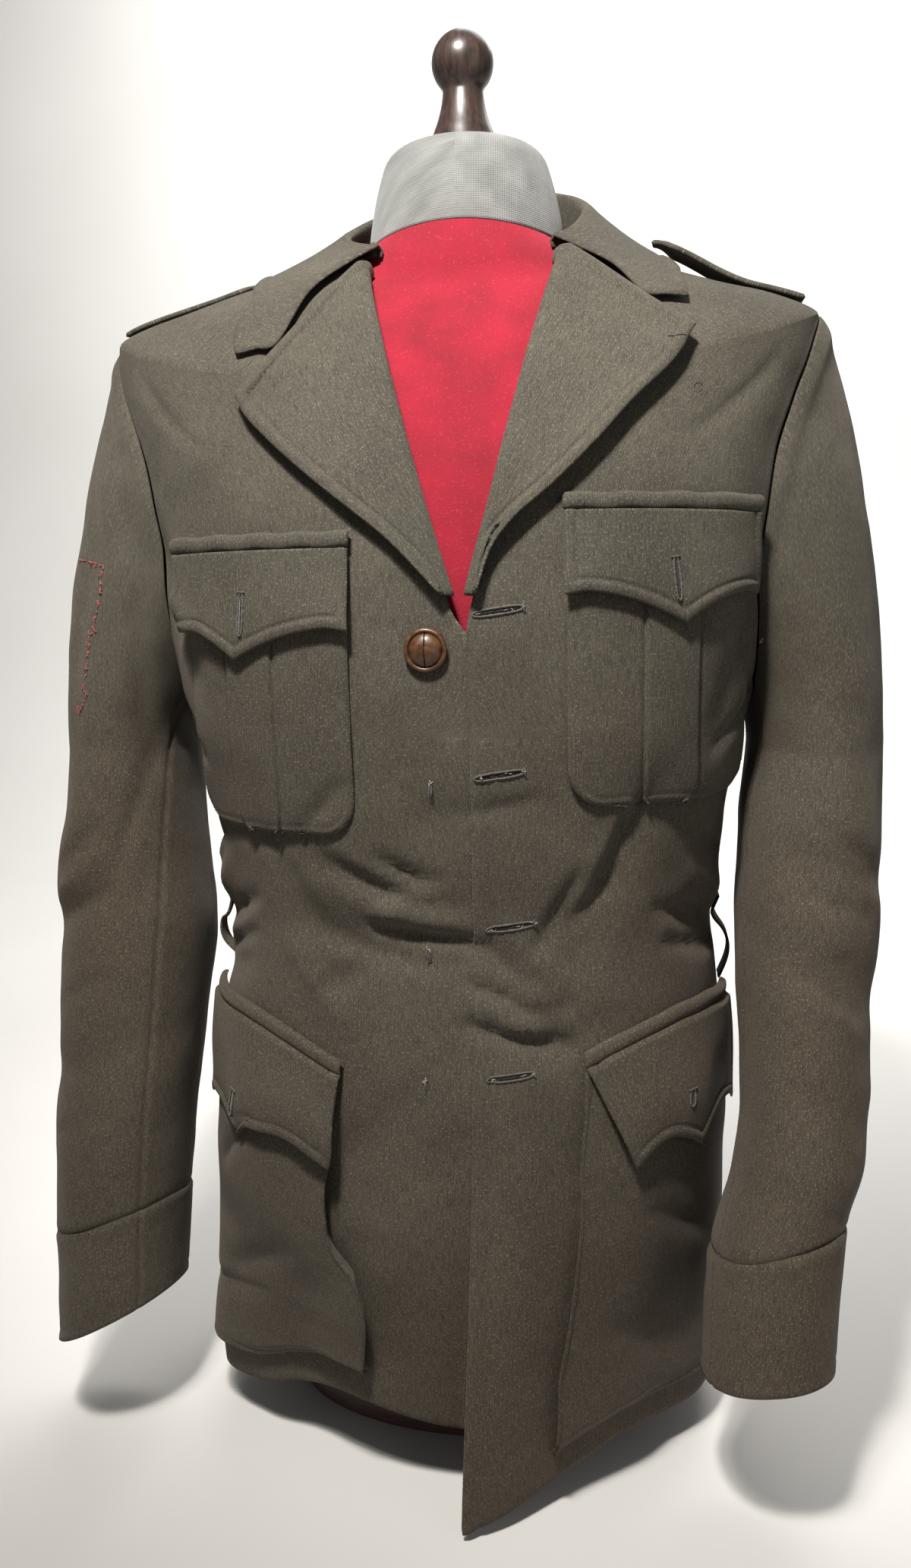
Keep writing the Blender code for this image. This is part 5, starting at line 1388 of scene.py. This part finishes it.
def form_torso_rings():
    """Rings of the form: a flat oval foot, then the jacket's own shape drawn in clear of its folds."""
    turn = np.arange(FORM_COLUMNS) * 2 * math.pi / FORM_COLUMNS
    rings = [form_ring(0.0, z, wide, deep, count=FORM_COLUMNS) for z, wide, deep in FORM_FOOT]
    table = np.array(FORM_RINGS)
    for height in np.concatenate([np.linspace(0.090, 0.668, 40)[:-1], table[-5:, 0]]):
        clear = [smooth(table[:, 0], table[:, k], height) for k in (1, 2)]
        facing = np.maximum(np.cos(turn), 0.0) ** 2
        gap = clear[0] + (clear[1] - clear[0]) * facing
        surface = plain_body(turn, height + 0 * turn)
        centre = np.array([ring_sizes(height)["middle_x"], 0.0])
        away = surface[:, :2] - centre
        reach = np.linalg.norm(away, axis=1, keepdims=True)
        ring = surface.copy()
        ring[:, :2] = centre + away * (1 - (gap[:, None] + CLOTH) / reach)
        rings.append(ring)
    z, wide, deep, slope, arch = FORM_NECK[0]
    rings.append(form_ring(NECK_X, z - GAP, wide + 0.0008, deep + 0.0008, slope, arch, FORM_COLUMNS))
    return rings


def padded_skin(name, rings, finish):
    """A closed body through rings from its foot up, with its lengths kept in a UV map."""
    grid = np.stack(rings)
    rows, columns = grid.shape[:2]
    index = np.arange(rows * columns).reshape(rows, columns)
    index = np.concatenate([index, index[:, :1]], axis=1)
    flat = grid.reshape(-1, 3)
    spread = cells(flat_places(flat, index, 0))
    ends = [list(range(columns))[::-1], list(range((rows - 1) * columns, rows * columns))]
    places = np.concatenate([spread.reshape(-1, 2), np.zeros((2 * columns, 2))])
    return put_mesh(name, flat, cells(index).tolist() + ends, [finish], places)


class Finish:
    """A material, built up step by step on its shader."""

    def __init__(self, name, roughness, sheen=0.0, coat=0.0):
        self.made = bpy.data.materials.new(name)
        self.made.use_nodes = True
        self.tree = self.made.node_tree
        self.shader = self.tree.nodes["Principled BSDF"]
        for key, value in (("Roughness", roughness), ("Sheen Weight", sheen), ("Sheen Roughness", 0.5),
                           ("Coat Weight", coat), ("Coat Roughness", 0.2)):
            self.give(self.shader, key, value)

    def give(self, node, key, value):
        """Set an input of a node, or join it to another node's output."""
        if isinstance(value, bpy.types.NodeSocket):
            self.tree.links.new(value, node.inputs[key])
        else:
            node.inputs[key].default_value = value

    def look(self, **inputs):
        """Set or join the shader's own inputs, with _ for the space in a name."""
        for key, value in inputs.items():
            self.give(self.shader, key.replace("_", " "), value)
        return self.made

    def step(self, kind, *inputs, **settings):
        node = self.tree.nodes.new("ShaderNode" + kind)
        for key, value in settings.items():
            setattr(node, key, value)
        for key, value in inputs:
            self.give(node, key, value)
        return node

    def place(self):
        return self.step("TexCoord").outputs["Object"]

    def height(self, place):
        return self.step("SeparateXYZ", ("Vector", place)).outputs["Z"]

    def weave(self):
        """The place on the flat cloth."""
        return self.step("UVMap", uv_map="cloth").outputs["UV"]

    def noise(self, place, scale, detail, *more):
        node = self.step("TexNoise", ("Vector", place), ("Scale", scale), ("Detail", detail), *more)
        return node.outputs[0]

    def streaks(self, place, scales, detail):
        """Noise drawn out, with a scale for each axis."""
        stretched = self.step("Mapping", ("Vector", place), ("Scale", scales))
        return self.noise(stretched.outputs[0], 1.0, detail)

    def wave(self, place, direction, scale, distortion, *more):
        node = self.step("TexWave", ("Vector", place), ("Scale", scale), ("Distortion", distortion),
                         *more, bands_direction=direction)
        return node.outputs["Fac"]

    def scaled(self, value, low, high, first=0.0, last=1.0):
        """A value's range from low to high brought to the range from first to last."""
        node = self.step("MapRange", ("Value", value), (1, low), (2, high), (3, first), (4, last))
        return node.outputs[0]

    def times(self, one, other):
        return self.step("Math", (0, one), (1, other), operation="MULTIPLY").outputs[0]

    def mix(self, share, first, second, way="MIX"):
        node = self.step("Mix", (0, share), (6, first), (7, second), data_type="RGBA", blend_type=way)
        return node.outputs[2]

    def ramp(self, amount, low, dark, high, light):
        """A colour for each amount: dark up to low, light from high."""
        node = self.step("ValToRGB", (0, amount))
        for stop, at, colour in ((0, low, dark), (-1, high, light)):
            node.color_ramp.elements[stop].color = (*colour, 1.0)
            node.color_ramp.elements[stop].position = at
        return node.outputs["Color"]

    def bump(self, height, strength, distance, *more):
        node = self.step("Bump", ("Height", height), ("Strength", strength), ("Distance", distance), *more)
        return node.outputs[0]


def wool_finish(name, dark, light, fleck):
    """Worsted gabardine: a fine steep twill with painted shade in its grooves, pale flecks of fibre, cloudy
    wear, and painted shade darkening it towards the bottom.
    """
    cloth = Finish(name, 0.86, sheen=0.10)
    weave = cloth.weave()
    steep = cloth.step("Mapping", ("Vector", weave), ("Rotation", (0, 0, 0.32))).outputs[0]
    twill = cloth.wave(steep, "DIAGONAL", 620.0, 0.9, ("Detail", 2.0), ("Detail Scale", 0.6))
    slub = cloth.streaks(weave, (1000, 120, 1), 2.0)
    flecks = cloth.streaks(weave, (1500, 640, 1), 3.0)
    place = cloth.place()
    cloud = cloth.noise(place, 11.0, 5.0, ("Roughness", 0.6))
    plain = cloth.ramp(cloud, 0.33, dark, 0.68, light)
    # painted shade: towards the bottom, in uneven patches, the cloth is mixed towards a darker, warmer copy
    # of its light tone
    low = cloth.scaled(cloth.height(place), 0.56, 0.38, 0.15, 0.85)
    patchy = cloth.scaled(cloth.noise(place, 3.6, 3.0), 0.36, 0.62, 0.5)
    painted_low_shade = (light[0] * 0.68, light[1] * 0.53, light[2] * 0.46, 1)
    base = cloth.mix(cloth.times(low, patchy), plain, painted_low_shade)
    # painted shade: the twill's grooves between its ribs are mixed towards a deep copy of the dark tone
    between = (dark[0] * 0.35, dark[1] * 0.35, dark[2] * 0.35, 1)
    ribs = cloth.mix(cloth.scaled(twill, 0.0, 1.0, 0.0, 0.55), base, between)
    slubbed = cloth.mix(0.75, ribs, slub, "OVERLAY")
    worn = cloth.times(cloth.scaled(flecks, 0.54, 0.74), 0.42)
    fuzz = cloth.bump(flecks, 0.35, 0.0006, ("Normal", cloth.bump(twill, 0.35, 0.0003)))
    return cloth.look(Sheen_Tint=(0.62, 0.54, 0.46, 1.0), Specular_IOR_Level=0.22,
                      Base_Color=cloth.mix(worn, slubbed, (*fleck, 1)),
                      Roughness=cloth.scaled(cloud, 0.0, 1.0, 0.78, 0.94), Normal=fuzz)


def lining_finish():
    """Twilled satin lining, brown, with a soft shine."""
    satin = Finish("brown satin lining", 0.42, sheen=0.1)
    weave = satin.weave()
    twill = satin.wave(weave, "DIAGONAL", 800.0, 0.8)
    cloud = satin.noise(weave, 26.0, 4.0)
    colour = satin.ramp(cloud, 0.3, (0.030, 0.022, 0.015), 0.75, (0.070, 0.052, 0.036))
    return satin.look(Base_Color=colour, Normal=satin.bump(twill, 0.2, 0.0002))


def felt_finish():
    """Red felt drawn over the form, matted, with a little lint, above a dark foot."""
    felt = Finish("red felt cover", 0.95, sheen=0.12)
    place = felt.place()
    mat = felt.noise(place, 700.0, 6.0)
    cloud = felt.noise(place, 40.0, 4.0)
    base = felt.ramp(cloud, 0.20, (0.165, 0.0012, 0.009), 0.80, (0.285, 0.003, 0.019))
    red = felt.mix(felt.scaled(mat, 0.58, 0.80, 0.0, 0.45), base, (0.52, 0.05, 0.07, 1))
    above = felt.scaled(felt.height(place), 0.110, 0.112)
    return felt.look(Sheen_Tint=(1.0, 0.35, 0.35, 1.0),
                     Base_Color=felt.mix(above, (0.016, 0.012, 0.010, 1), red),
                     Normal=felt.bump(mat, 0.5, 0.0006))


def jersey_finish():
    """Grey knitted jersey: fine upright wales crossed by its courses."""
    jersey = Finish("grey knitted jersey", 0.9, sheen=0.25)
    knit = jersey.weave()
    wales = jersey.wave(knit, "X", 230.0, 0.6, ("Detail", 2.0))
    both = jersey.times(wales, jersey.wave(knit, "Y", 300.0, 1.0))
    cloud = jersey.noise(knit, 60.0, 5.0)
    base = jersey.ramp(cloud, 0.3, (0.19, 0.19, 0.175), 0.7, (0.33, 0.33, 0.31))
    shade = jersey.scaled(both, 0.0, 1.0, 0.45, 0.0)
    return jersey.look(Base_Color=jersey.mix(shade, base, (0.05, 0.05, 0.05, 1)),
                       Normal=jersey.bump(both, 0.6, 0.0005))


def wood_finish():
    """Dark stained wood under varnish, with its grain upright and worn paler in places."""
    wood = Finish("stained and varnished wood", 0.34, coat=0.35)
    place = wood.place()
    grain = wood.streaks(place, (420, 420, 26), 5.0)
    base = wood.ramp(grain, 0.3, (0.016, 0.009, 0.007), 0.75, (0.062, 0.036, 0.028))
    rub = wood.scaled(wood.noise(place, 90.0, 3.0), 0.58, 0.75, 0.0, 0.3)
    return wood.look(Base_Color=wood.mix(rub, base, (0.12, 0.08, 0.06, 1)),
                     Normal=wood.bump(grain, 0.25, 0.0003))


def leather_finish():
    """Worn brown leather: fine creases, darker in them, with a rubbed shine."""
    leather = Finish("worn brown leather", 0.32, coat=0.25)
    place = leather.place()
    creased = leather.step("TexVoronoi", ("Vector", place), ("Scale", 1500.0), feature="DISTANCE_TO_EDGE")
    line = creased.outputs["Distance"]
    cloud = leather.noise(place, 300.0, 5.0)
    base = leather.ramp(cloud, 0.3, (0.032, 0.013, 0.005), 0.7, (0.125, 0.050, 0.015))
    dark = leather.scaled(line, 0.0, 0.12, 0.55, 0.0)
    return leather.look(Base_Color=leather.mix(dark, base, (0.012, 0.005, 0.003, 1)),
                        Roughness=leather.scaled(cloud, 0.0, 1.0, 0.24, 0.5),
                        Normal=leather.bump(line, 0.25, 0.0004))


def thread_finish(name, low, high, roughness=0.7):
    """Spun sewing thread, uneven in colour."""
    thread = Finish(name, roughness, sheen=0.2)
    spun = thread.noise(thread.place(), 1600.0, 3.0)
    return thread.look(Base_Color=thread.ramp(spun, 0.3, low, 0.7, high),
                       Normal=thread.bump(spun, 0.5, 0.0002))


def floor_finish():
    paper = Finish("pale paper floor", 0.9)
    cloud = paper.noise(paper.place(), 2.0, 3.0)
    return paper.look(Base_Color=paper.ramp(cloud, 0.3, (0.62, 0.60, 0.57), 0.7, (0.66, 0.64, 0.61)))


FLECK = (0.30, 0.27, 0.21)
wool = wool_finish("olive grey gabardine", (0.052, 0.046, 0.035), (0.096, 0.087, 0.067), FLECK)
wool_edge = wool_finish("gabardine of the trims", (0.048, 0.043, 0.033), (0.090, 0.082, 0.063), FLECK)
lining = lining_finish()
olive_thread = thread_finish("dark olive sewing thread", (0.030, 0.024, 0.018), (0.085, 0.070, 0.052))
purl_thread = thread_finish("buttonhole thread", (0.034, 0.028, 0.021), (0.092, 0.078, 0.058))
pale_thread = thread_finish("frayed pale thread", (0.26, 0.22, 0.17), (0.52, 0.47, 0.39))
red_thread = thread_finish("red thread left from old stitching", (0.26, 0.022, 0.022), (0.46, 0.070, 0.060))
# painted shade: near-black pads on the cloth stand for the shadow inside the buttonholes and the lapel's
# nick
painted_slit_shade = thread_finish("painted shade inside a hole", (0.003, 0.002, 0.002), (0.010, 0.008, 0.006), 0.9)


def done(piece, slot, *nodes):
    """A finished piece rides with the jacket and stands for its solids."""
    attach(piece, "root")
    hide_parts(*nodes)
    return piece


grids = {"back": back_grid(), "collar": collar_grid()}
CUT = {
    # its piece, wall, what holds it, flat width, flat length and flat area
    "back": ("back_cloth", CLOTH, "form_torso", (0.500, 0.770, 0.304)),
    "collar": ("collar_cloth", TRIM, "back", (0.560, 0.110, 0.0365)),
}
PAIRS = [
    # node, its grid, piece, wall, what holds it, flat sizes on the right and on the left
    ("front", front_grid, "front_cloth", CLOTH, "form_torso", (0.290, 0.760, 0.174), (0.290, 0.760, 0.157)),
    ("sleeve", sleeve_grid, "sleeve_cloth", CLOTH, "front", (0.400, 0.600, 0.151), (0.400, 0.600, 0.139)),
    ("cuff", cuff_grid, "cuff_band", CLOTH, "sleeve", (0.280, 0.070, None), (0.280, 0.070, None)),
    ("lapel", lapel_grid, "lapel_cloth", TRIM, "front", (0.110, 0.230, 0.0145), (0.110, 0.230, 0.0150)),
    ("shoulder_strap", strap_grid, "strap_cloth", STRAP_WALL, "front",
     (0.042, 0.095, 0.00357), (0.042, 0.095, 0.00372)),
    ("chest_pocket", chest_pocket_grid, "chest_patch", TRIM, "front",
     (0.135, 0.150, 0.0180), (0.135, 0.150, 0.0188)),
    ("chest_flap", chest_flap_grid, "chest_flap_cloth", TRIM, "front",
     (0.120, 0.058, 0.0058), (0.120, 0.058, 0.0058)),
    ("chest_welt", welt_grid, "chest_cord", WELT_WALL, "front", (0.120, 0.012, None), (0.120, 0.012, None)),
    ("lower_pocket", lower_pocket_grid, "bellows_patch", TRIM, "front",
     (0.190, 0.210, 0.0359), (0.190, 0.210, 0.0384)),
    ("lower_flap", lower_flap_grid, "lower_flap_cloth", TRIM, "front",
     (0.180, 0.075, 0.0098), (0.180, 0.075, 0.0093)),
    ("lower_welt", lower_welt_grid, "lower_cord", TRIM, "front",
     (0.148, 0.012, None), (0.141, 0.012, None)),
    ("belt_loop", belt_loop_grid, "belt_keeper", TRIM, "front", (0.013, 0.060, None), (0.013, 0.076, None)),
]
for node, make, piece, wall, holds, *flats in PAIRS:
    for hand, flat in zip(("right", "left"), flats):
        held_by = holds if holds == "form_torso" else f"{holds}_{hand}"
        grids[f"{node}_{hand}"] = make(hand)
        CUT[f"{node}_{hand}"] = (f"{piece}_{hand}", wall, held_by, flat)

TUBES = ("sleeve", "cuff")
LINED = ("back", "front") + TUBES

for node, (name, wall, _holds, _flat) in CUT.items():
    finishes = [wool, lining] if node.startswith(LINED) else [wool_edge]
    piece = shell(name, grids[node], wall, finishes, node.startswith(TUBES))
    done(piece, "wool gabardine", node)

STITCHED = [
    # cloth, how far in its topstitching runs, its stitched edges
    ("lapel_right", 0.0076, ("left", "top")),
    ("lapel_left", 0.0076, ("right", "top")),
    ("collar", 0.0076, PATCH_EDGES),
]
for hand in ("right", "left"):
    STITCHED += [
        ("chest_flap_" + hand, 0.0060, PATCH_EDGES),
        ("lower_flap_" + hand, 0.0060, PATCH_EDGES),
        ("chest_pocket_" + hand, 0.0045, PATCH_EDGES),
        ("shoulder_strap_" + hand, 0.0050, ("left", "right", "top")),
    ]
FRONT_STITCH_INSET = 0.0076
FRONT_STITCH_ENDS = (0.004, 0.235)

top_seams = []
for node, inset, edges in STITCHED:
    for k, edge in enumerate(edges):
        line, normals = inset_line(grids[node], edge, inset, inset, inset)
        if len(line) > 3:
            top_seams.append((node, stitches(line, normals, seed=k)))
for hand in ("left", "right"):
    line, normals = inset_line(grids["front_" + hand], hand, FRONT_STITCH_INSET, *FRONT_STITCH_ENDS)
    top_seams.append(("front_" + hand, stitches(line, normals, seed=5)))
for place in ("left", "right", "collar"):
    rows = [stitch for owner, row in top_seams if owner.endswith(place) for stitch in row]
    done(gather("topstitching_" + place, rows, olive_thread), "wool gabardine")

purls, slits, frays = [], [], []
for k, (x, z) in enumerate(FRONT_HOLES):
    ring, slit = buttonhole(grids["front_left"], x, z, 0.026, math.radians(8), k)
    purls += ring
    slits += slit
    frays += loose_threads(grids["front_left"], x + 0.006, z + 0.0012, 2, 0.002, 0.0028, 20 + k, 0.00012)
    frays += loose_threads(grids["front_left"], x - 0.010, z - 0.0012, 3, 0.0006, 0.0020, 30 + k, 0.00014)
    frays += loose_threads(grids["front_left"], x + 0.0125, z + 0.0020, 3, 0.0006, 0.0022, 60 + k, 0.00014)
for node, x, z, length, tilt in (("chest_flap_left", 0.1277, 0.5382, 0.022, 97.0),
                                 ("chest_flap_right", -0.1021, 0.5235, 0.023, 85.6),
                                 ("lower_flap_left", 0.1402, 0.2486, 0.009, 90.0),
                                 ("lower_flap_right", -0.1295, 0.2357, 0.0186, 76.3)):
    ring, slit = buttonhole(grids[node], x, z, length, math.radians(tilt), 8, 0.0028)
    purls += ring
    slits += slit
# a thin pad of painted shade for a nick in the lapel
nick_places = [(x, 0.6614) for x in np.linspace(0.1222, 0.1315, 9)]
nick, nick_facing = run_on(grids["lapel_left"], nick_places, 0.0001)
slits.append(flat_lens(nick, nick_facing, 0.0004))
done(gather("buttonhole_purl", purls, purl_thread), "wool gabardine")
done(gather("buttonhole_slit_shade", slits, painted_slit_shade), "wool gabardine")
left_threads = []
for k, (x, z) in enumerate([(-0.0008, 0.4327), (-0.0061, 0.3378), (-0.0081, 0.2640)]):
    left_threads += hanging_threads(grids["front_right"], x, z, 7, 0.009, 40 + k)
    frays += loose_threads(grids["front_right"], x, z + 0.0006, 4, 0.0007, 0.0022, 50 + k, 0.00020)
loop_turn = np.linspace(0.4, 6.1, 22)
loop_places = [(0.1376 + 0.0021 * math.cos(t), 0.6363 + 0.0030 * math.sin(t)) for t in loop_turn]
loop_line, loop_facing = run_on(grids["front_left"], loop_places, 0.0006 + 0.0006 * np.sin(loop_turn))
left_threads.append(yarn(loop_line, loop_facing, 0.00018, sides=5))
done(gather("thread_where_buttons_were", left_threads, olive_thread), "wool gabardine")
frays += loose_threads(grids["sleeve_left"], 0.1777, 0.5038, 5, 0.0006, 0.0020, 70, 0.00018)
done(gather("frayed_thread", frays, pale_thread), "wool gabardine")
done(gather("red_thread_remnants", broken_thread(grids["sleeve_right"], RED_THREAD, 3), red_thread),
     "wool gabardine")


def deselect_all():
    for thing in bpy.data.objects:
        thing.select_set(False)


def pick(mesh_edit, test):
    """Select in edit mode the vertices that pass a test of their place."""
    bpy.ops.mesh.select_all(action="DESELECT")
    bpy.ops.object.mode_set(mode="OBJECT")
    for vertex in mesh_edit.vertices:
        vertex.select = bool(test(vertex.co))
    bpy.ops.object.mode_set(mode="EDIT")


def turn_on_lathe(name, x, profile, steps=72):
    """A turned shape: a round blank drawn up from ring to ring."""
    deselect_all()
    radius, low = profile[0]
    bpy.ops.mesh.primitive_circle_add(vertices=steps, radius=radius, fill_type="NGON", location=(x, 0, low))
    thing = bpy.context.object
    thing.name = name
    bpy.ops.object.mode_set(mode="EDIT")
    bpy.ops.mesh.select_all(action="SELECT")
    for wide, high in profile[1:]:
        bpy.ops.mesh.extrude_region_move(TRANSFORM_OT_translate={"value": (0, 0, high - low)})
        bpy.ops.transform.resize(value=(wide / radius, wide / radius, 1), center_override=(x, 0, high))
        radius, low = wide, high
    bpy.ops.mesh.select_all(action="SELECT")
    bpy.ops.mesh.remove_doubles(threshold=0.00001)
    bpy.ops.mesh.normals_make_consistent(inside=False)
    bpy.ops.object.mode_set(mode="OBJECT")
    bpy.ops.object.transform_apply(location=True, rotation=True, scale=True)
    bpy.ops.object.shade_smooth_by_angle(angle=math.radians(40))
    return thing


BALL_RADIUS = 0.0183
BALL_HEIGHT = 0.8385
ball = [(BALL_RADIUS * math.sin(t), BALL_HEIGHT - BALL_RADIUS * math.cos(t))
        for t in np.linspace(0.72, math.pi - 0.06, 22)]
foot = [(0.0200, 0.7896), (0.0209, 0.7902), (0.0211, 0.7912), (0.0208, 0.7926), (0.0197, 0.7950),
        (0.0186, 0.7985), (0.0172, 0.8020), (0.0158, 0.8055), (0.0145, 0.8095), (0.0134, 0.8135),
        (0.0126, 0.8175), (0.0121, 0.8215), (0.0119, 0.8238)]
knob = turn_on_lathe("turned_neck_knob", NECK_X - 0.001, foot + ball[1:])
knob.data.materials.append(wood_finish())
done(knob, "dark turned wood", "neck_knob")

torso = padded_skin("felt_covered_torso", form_torso_rings(), felt_finish())
done(torso, "red felt", "form_torso")
neck_table = np.array([(z + GAP, *rest) for z, *rest in FORM_NECK])
neck_rings = [form_ring(NECK_X, *row) for row in refine(neck_table, 34, 5)]
neck = padded_skin("jersey_covered_neck", neck_rings, jersey_finish())
done(neck, "grey jersey", "form_neck")


BUTTON_SEAM = 0.00045


def make_button():
    """A leather button: a domed middle split by one seam, in a rolled rim."""
    deselect_all()
    radius = BUTTON["radius"]
    bpy.ops.mesh.primitive_uv_sphere_add(segments=64, ring_count=32, radius=radius * 0.80,
                                         location=(0, 0, 0))
    dome = bpy.context.object
    dome.name = "leather_button"
    bpy.ops.object.mode_set(mode="EDIT")
    bpy.ops.mesh.select_all(action="SELECT")
    bpy.ops.transform.resize(value=(1, 1, 0.62), center_override=(0, 0, 0))
    bpy.ops.mesh.bisect(plane_co=(0, 0, -0.0008), plane_no=(0, 0, 1), clear_inner=True, use_fill=True)
    for beside in (BUTTON_SEAM, -BUTTON_SEAM):
        bpy.ops.mesh.select_all(action="SELECT")
        bpy.ops.mesh.bisect(plane_co=(beside, 0, 0), plane_no=(1, 0, 0))
    pick(dome.data, lambda co: abs(co.x) < 0.0003 and co.z > 0)
    bpy.ops.transform.translate(value=(0, 0, -0.0011))
    bpy.ops.object.mode_set(mode="OBJECT")
    deselect_all()
    bpy.ops.mesh.primitive_torus_add(major_radius=radius * 0.88, minor_radius=radius * 0.12,
                                     major_segments=72, minor_segments=20, location=(0, 0, 0.0008))
    rim = bpy.context.object
    bpy.ops.object.mode_set(mode="EDIT")
    bpy.ops.mesh.select_all(action="SELECT")
    bpy.ops.transform.resize(value=(1, 1, 1.25), center_override=(0, 0, 0.0008))
    bpy.ops.object.mode_set(mode="OBJECT")
    bpy.ops.object.transform_apply(location=True, rotation=True, scale=True)
    deselect_all()
    bpy.ops.mesh.primitive_cylinder_add(vertices=48, radius=radius * 0.84, depth=0.0020,
                                        location=(0, 0, -0.0001))
    backing = bpy.context.object
    bpy.ops.object.mode_set(mode="EDIT")
    bpy.ops.mesh.select_all(action="SELECT")
    bpy.ops.mesh.bevel(offset=0.0003, segments=2)
    bpy.ops.object.mode_set(mode="OBJECT")
    bpy.ops.object.transform_apply(location=True, rotation=True, scale=True)
    for part in (dome, rim, backing):
        part.select_set(True)
    bpy.context.view_layer.objects.active = dome
    bpy.ops.object.join()
    angle, height = seat(BUTTON["x"], BUTTON["z"])
    normal = Vector(outward(body, angle, height))
    spot = Vector(lie(angle, height, 0.0021))
    turned = normal.to_track_quat("Z", "Y").to_matrix().to_4x4()
    dome.data.transform(Matrix.Translation(spot) @ turned)
    dome.data.materials.append(leather_finish())
    bpy.ops.object.shade_smooth_by_angle(angle=math.radians(40))
    return dome


done(make_button(), "woven leather", "button")


LAMPS = [
    # name, place, what it points at, size, power, colour
    ("key light", (-0.16, -0.76, 1.50), (0, -0.05, 0.50), 0.20, 15.0, (1.0, 0.975, 0.93)),
    ("fill light", (1.2, -1.1, 0.7), (0, 0, 0.35), 1.1, 2.4, (0.96, 0.98, 1.0)),
    ("top light", (0.3, 0.9, 1.9), (0, 0, 0.6), 1.0, 10.0, (1.0, 1.0, 1.0)),
    ("backdrop light", (0.0, 1.0, 1.9), (0, 2.2, 0.9), 1.6, 60.0, (1.0, 1.0, 1.0)),
]
PHOTO_HEIGHT = 2065
FOCAL_PIXELS = 1600
CAMERA_PLACE = (0.101, -0.762, 0.533)
CAMERA_TURN = math.radians(8)
CAMERA_TILT = math.radians(8.95)
CAMERA_ROLL = math.radians(1)


def light(name, kind, place, aim, power, tint, **settings):
    lamp = bpy.data.lights.new(name, kind)
    lamp.energy = power
    lamp.color = tint
    for key, value in settings.items():
        setattr(lamp, key, value)
    thing = put(name, lamp)
    thing.location = place
    thing.rotation_euler = (Vector(aim) - Vector(place)).to_track_quat("-Z", "Y").to_euler()


def studio():
    """A pale floor that curves up behind, soft lights, and the camera."""
    across = np.linspace(-4.0, 4.0, 9)
    turn = np.linspace(0, math.pi / 2, 12)
    profile = [(-3.0, 0.0), (0.8, 0.0)] + [(1.2 + 1.0 * math.sin(t), 1.0 - 1.0 * math.cos(t)) for t in turn]
    profile.append((2.2, 4.0))
    grid = np.array([[(x, y, z) for x in across] for y, z in profile])
    index = np.arange(len(profile) * 9).reshape(-1, 9)
    floor = put_mesh("floor_sweep", grid.reshape(-1, 3), cells(index).tolist(), [floor_finish()])
    for name, place, aim, size, power, tint in LAMPS:
        light(name, "AREA", place, aim, power, tint, size=size)
    light("chest light", "SPOT", (-0.08, -0.78, 1.55), (0.02, -0.10, 0.66), 95.0, (1.0, 0.985, 0.95),
          spot_size=math.radians(46), spot_blend=1.0, shadow_soft_size=0.06)
    world = bpy.context.scene.world or bpy.data.worlds.new("studio")
    bpy.context.scene.world = world
    world.use_nodes = True
    sky = world.node_tree.nodes["Background"].inputs
    sky[0].default_value = (0.80, 0.82, 0.84, 1.0)
    sky[1].default_value = 0.20
    bpy.context.scene.view_settings.view_transform = "Standard"
    turned, tilt, roll = CAMERA_TURN, CAMERA_TILT, CAMERA_ROLL
    ahead = Vector((-math.sin(turned) * math.cos(tilt), math.cos(turned) * math.cos(tilt), -math.sin(tilt)))
    right = Vector((math.cos(turned), math.sin(turned), 0.0))
    up = right.cross(ahead)
    lens = bpy.data.cameras.new("camera")
    lens.lens = 36.0 * FOCAL_PIXELS / PHOTO_HEIGHT
    camera = put("camera", lens)
    rolled_right = right * math.cos(roll) - up * math.sin(roll)
    rolled_up = up * math.cos(roll) + right * math.sin(roll)
    facing = Matrix((rolled_right, rolled_up, -ahead)).transposed().to_4x4()
    camera.matrix_world = Matrix.Translation(CAMERA_PLACE) @ facing
    bpy.context.scene.camera = camera


studio()
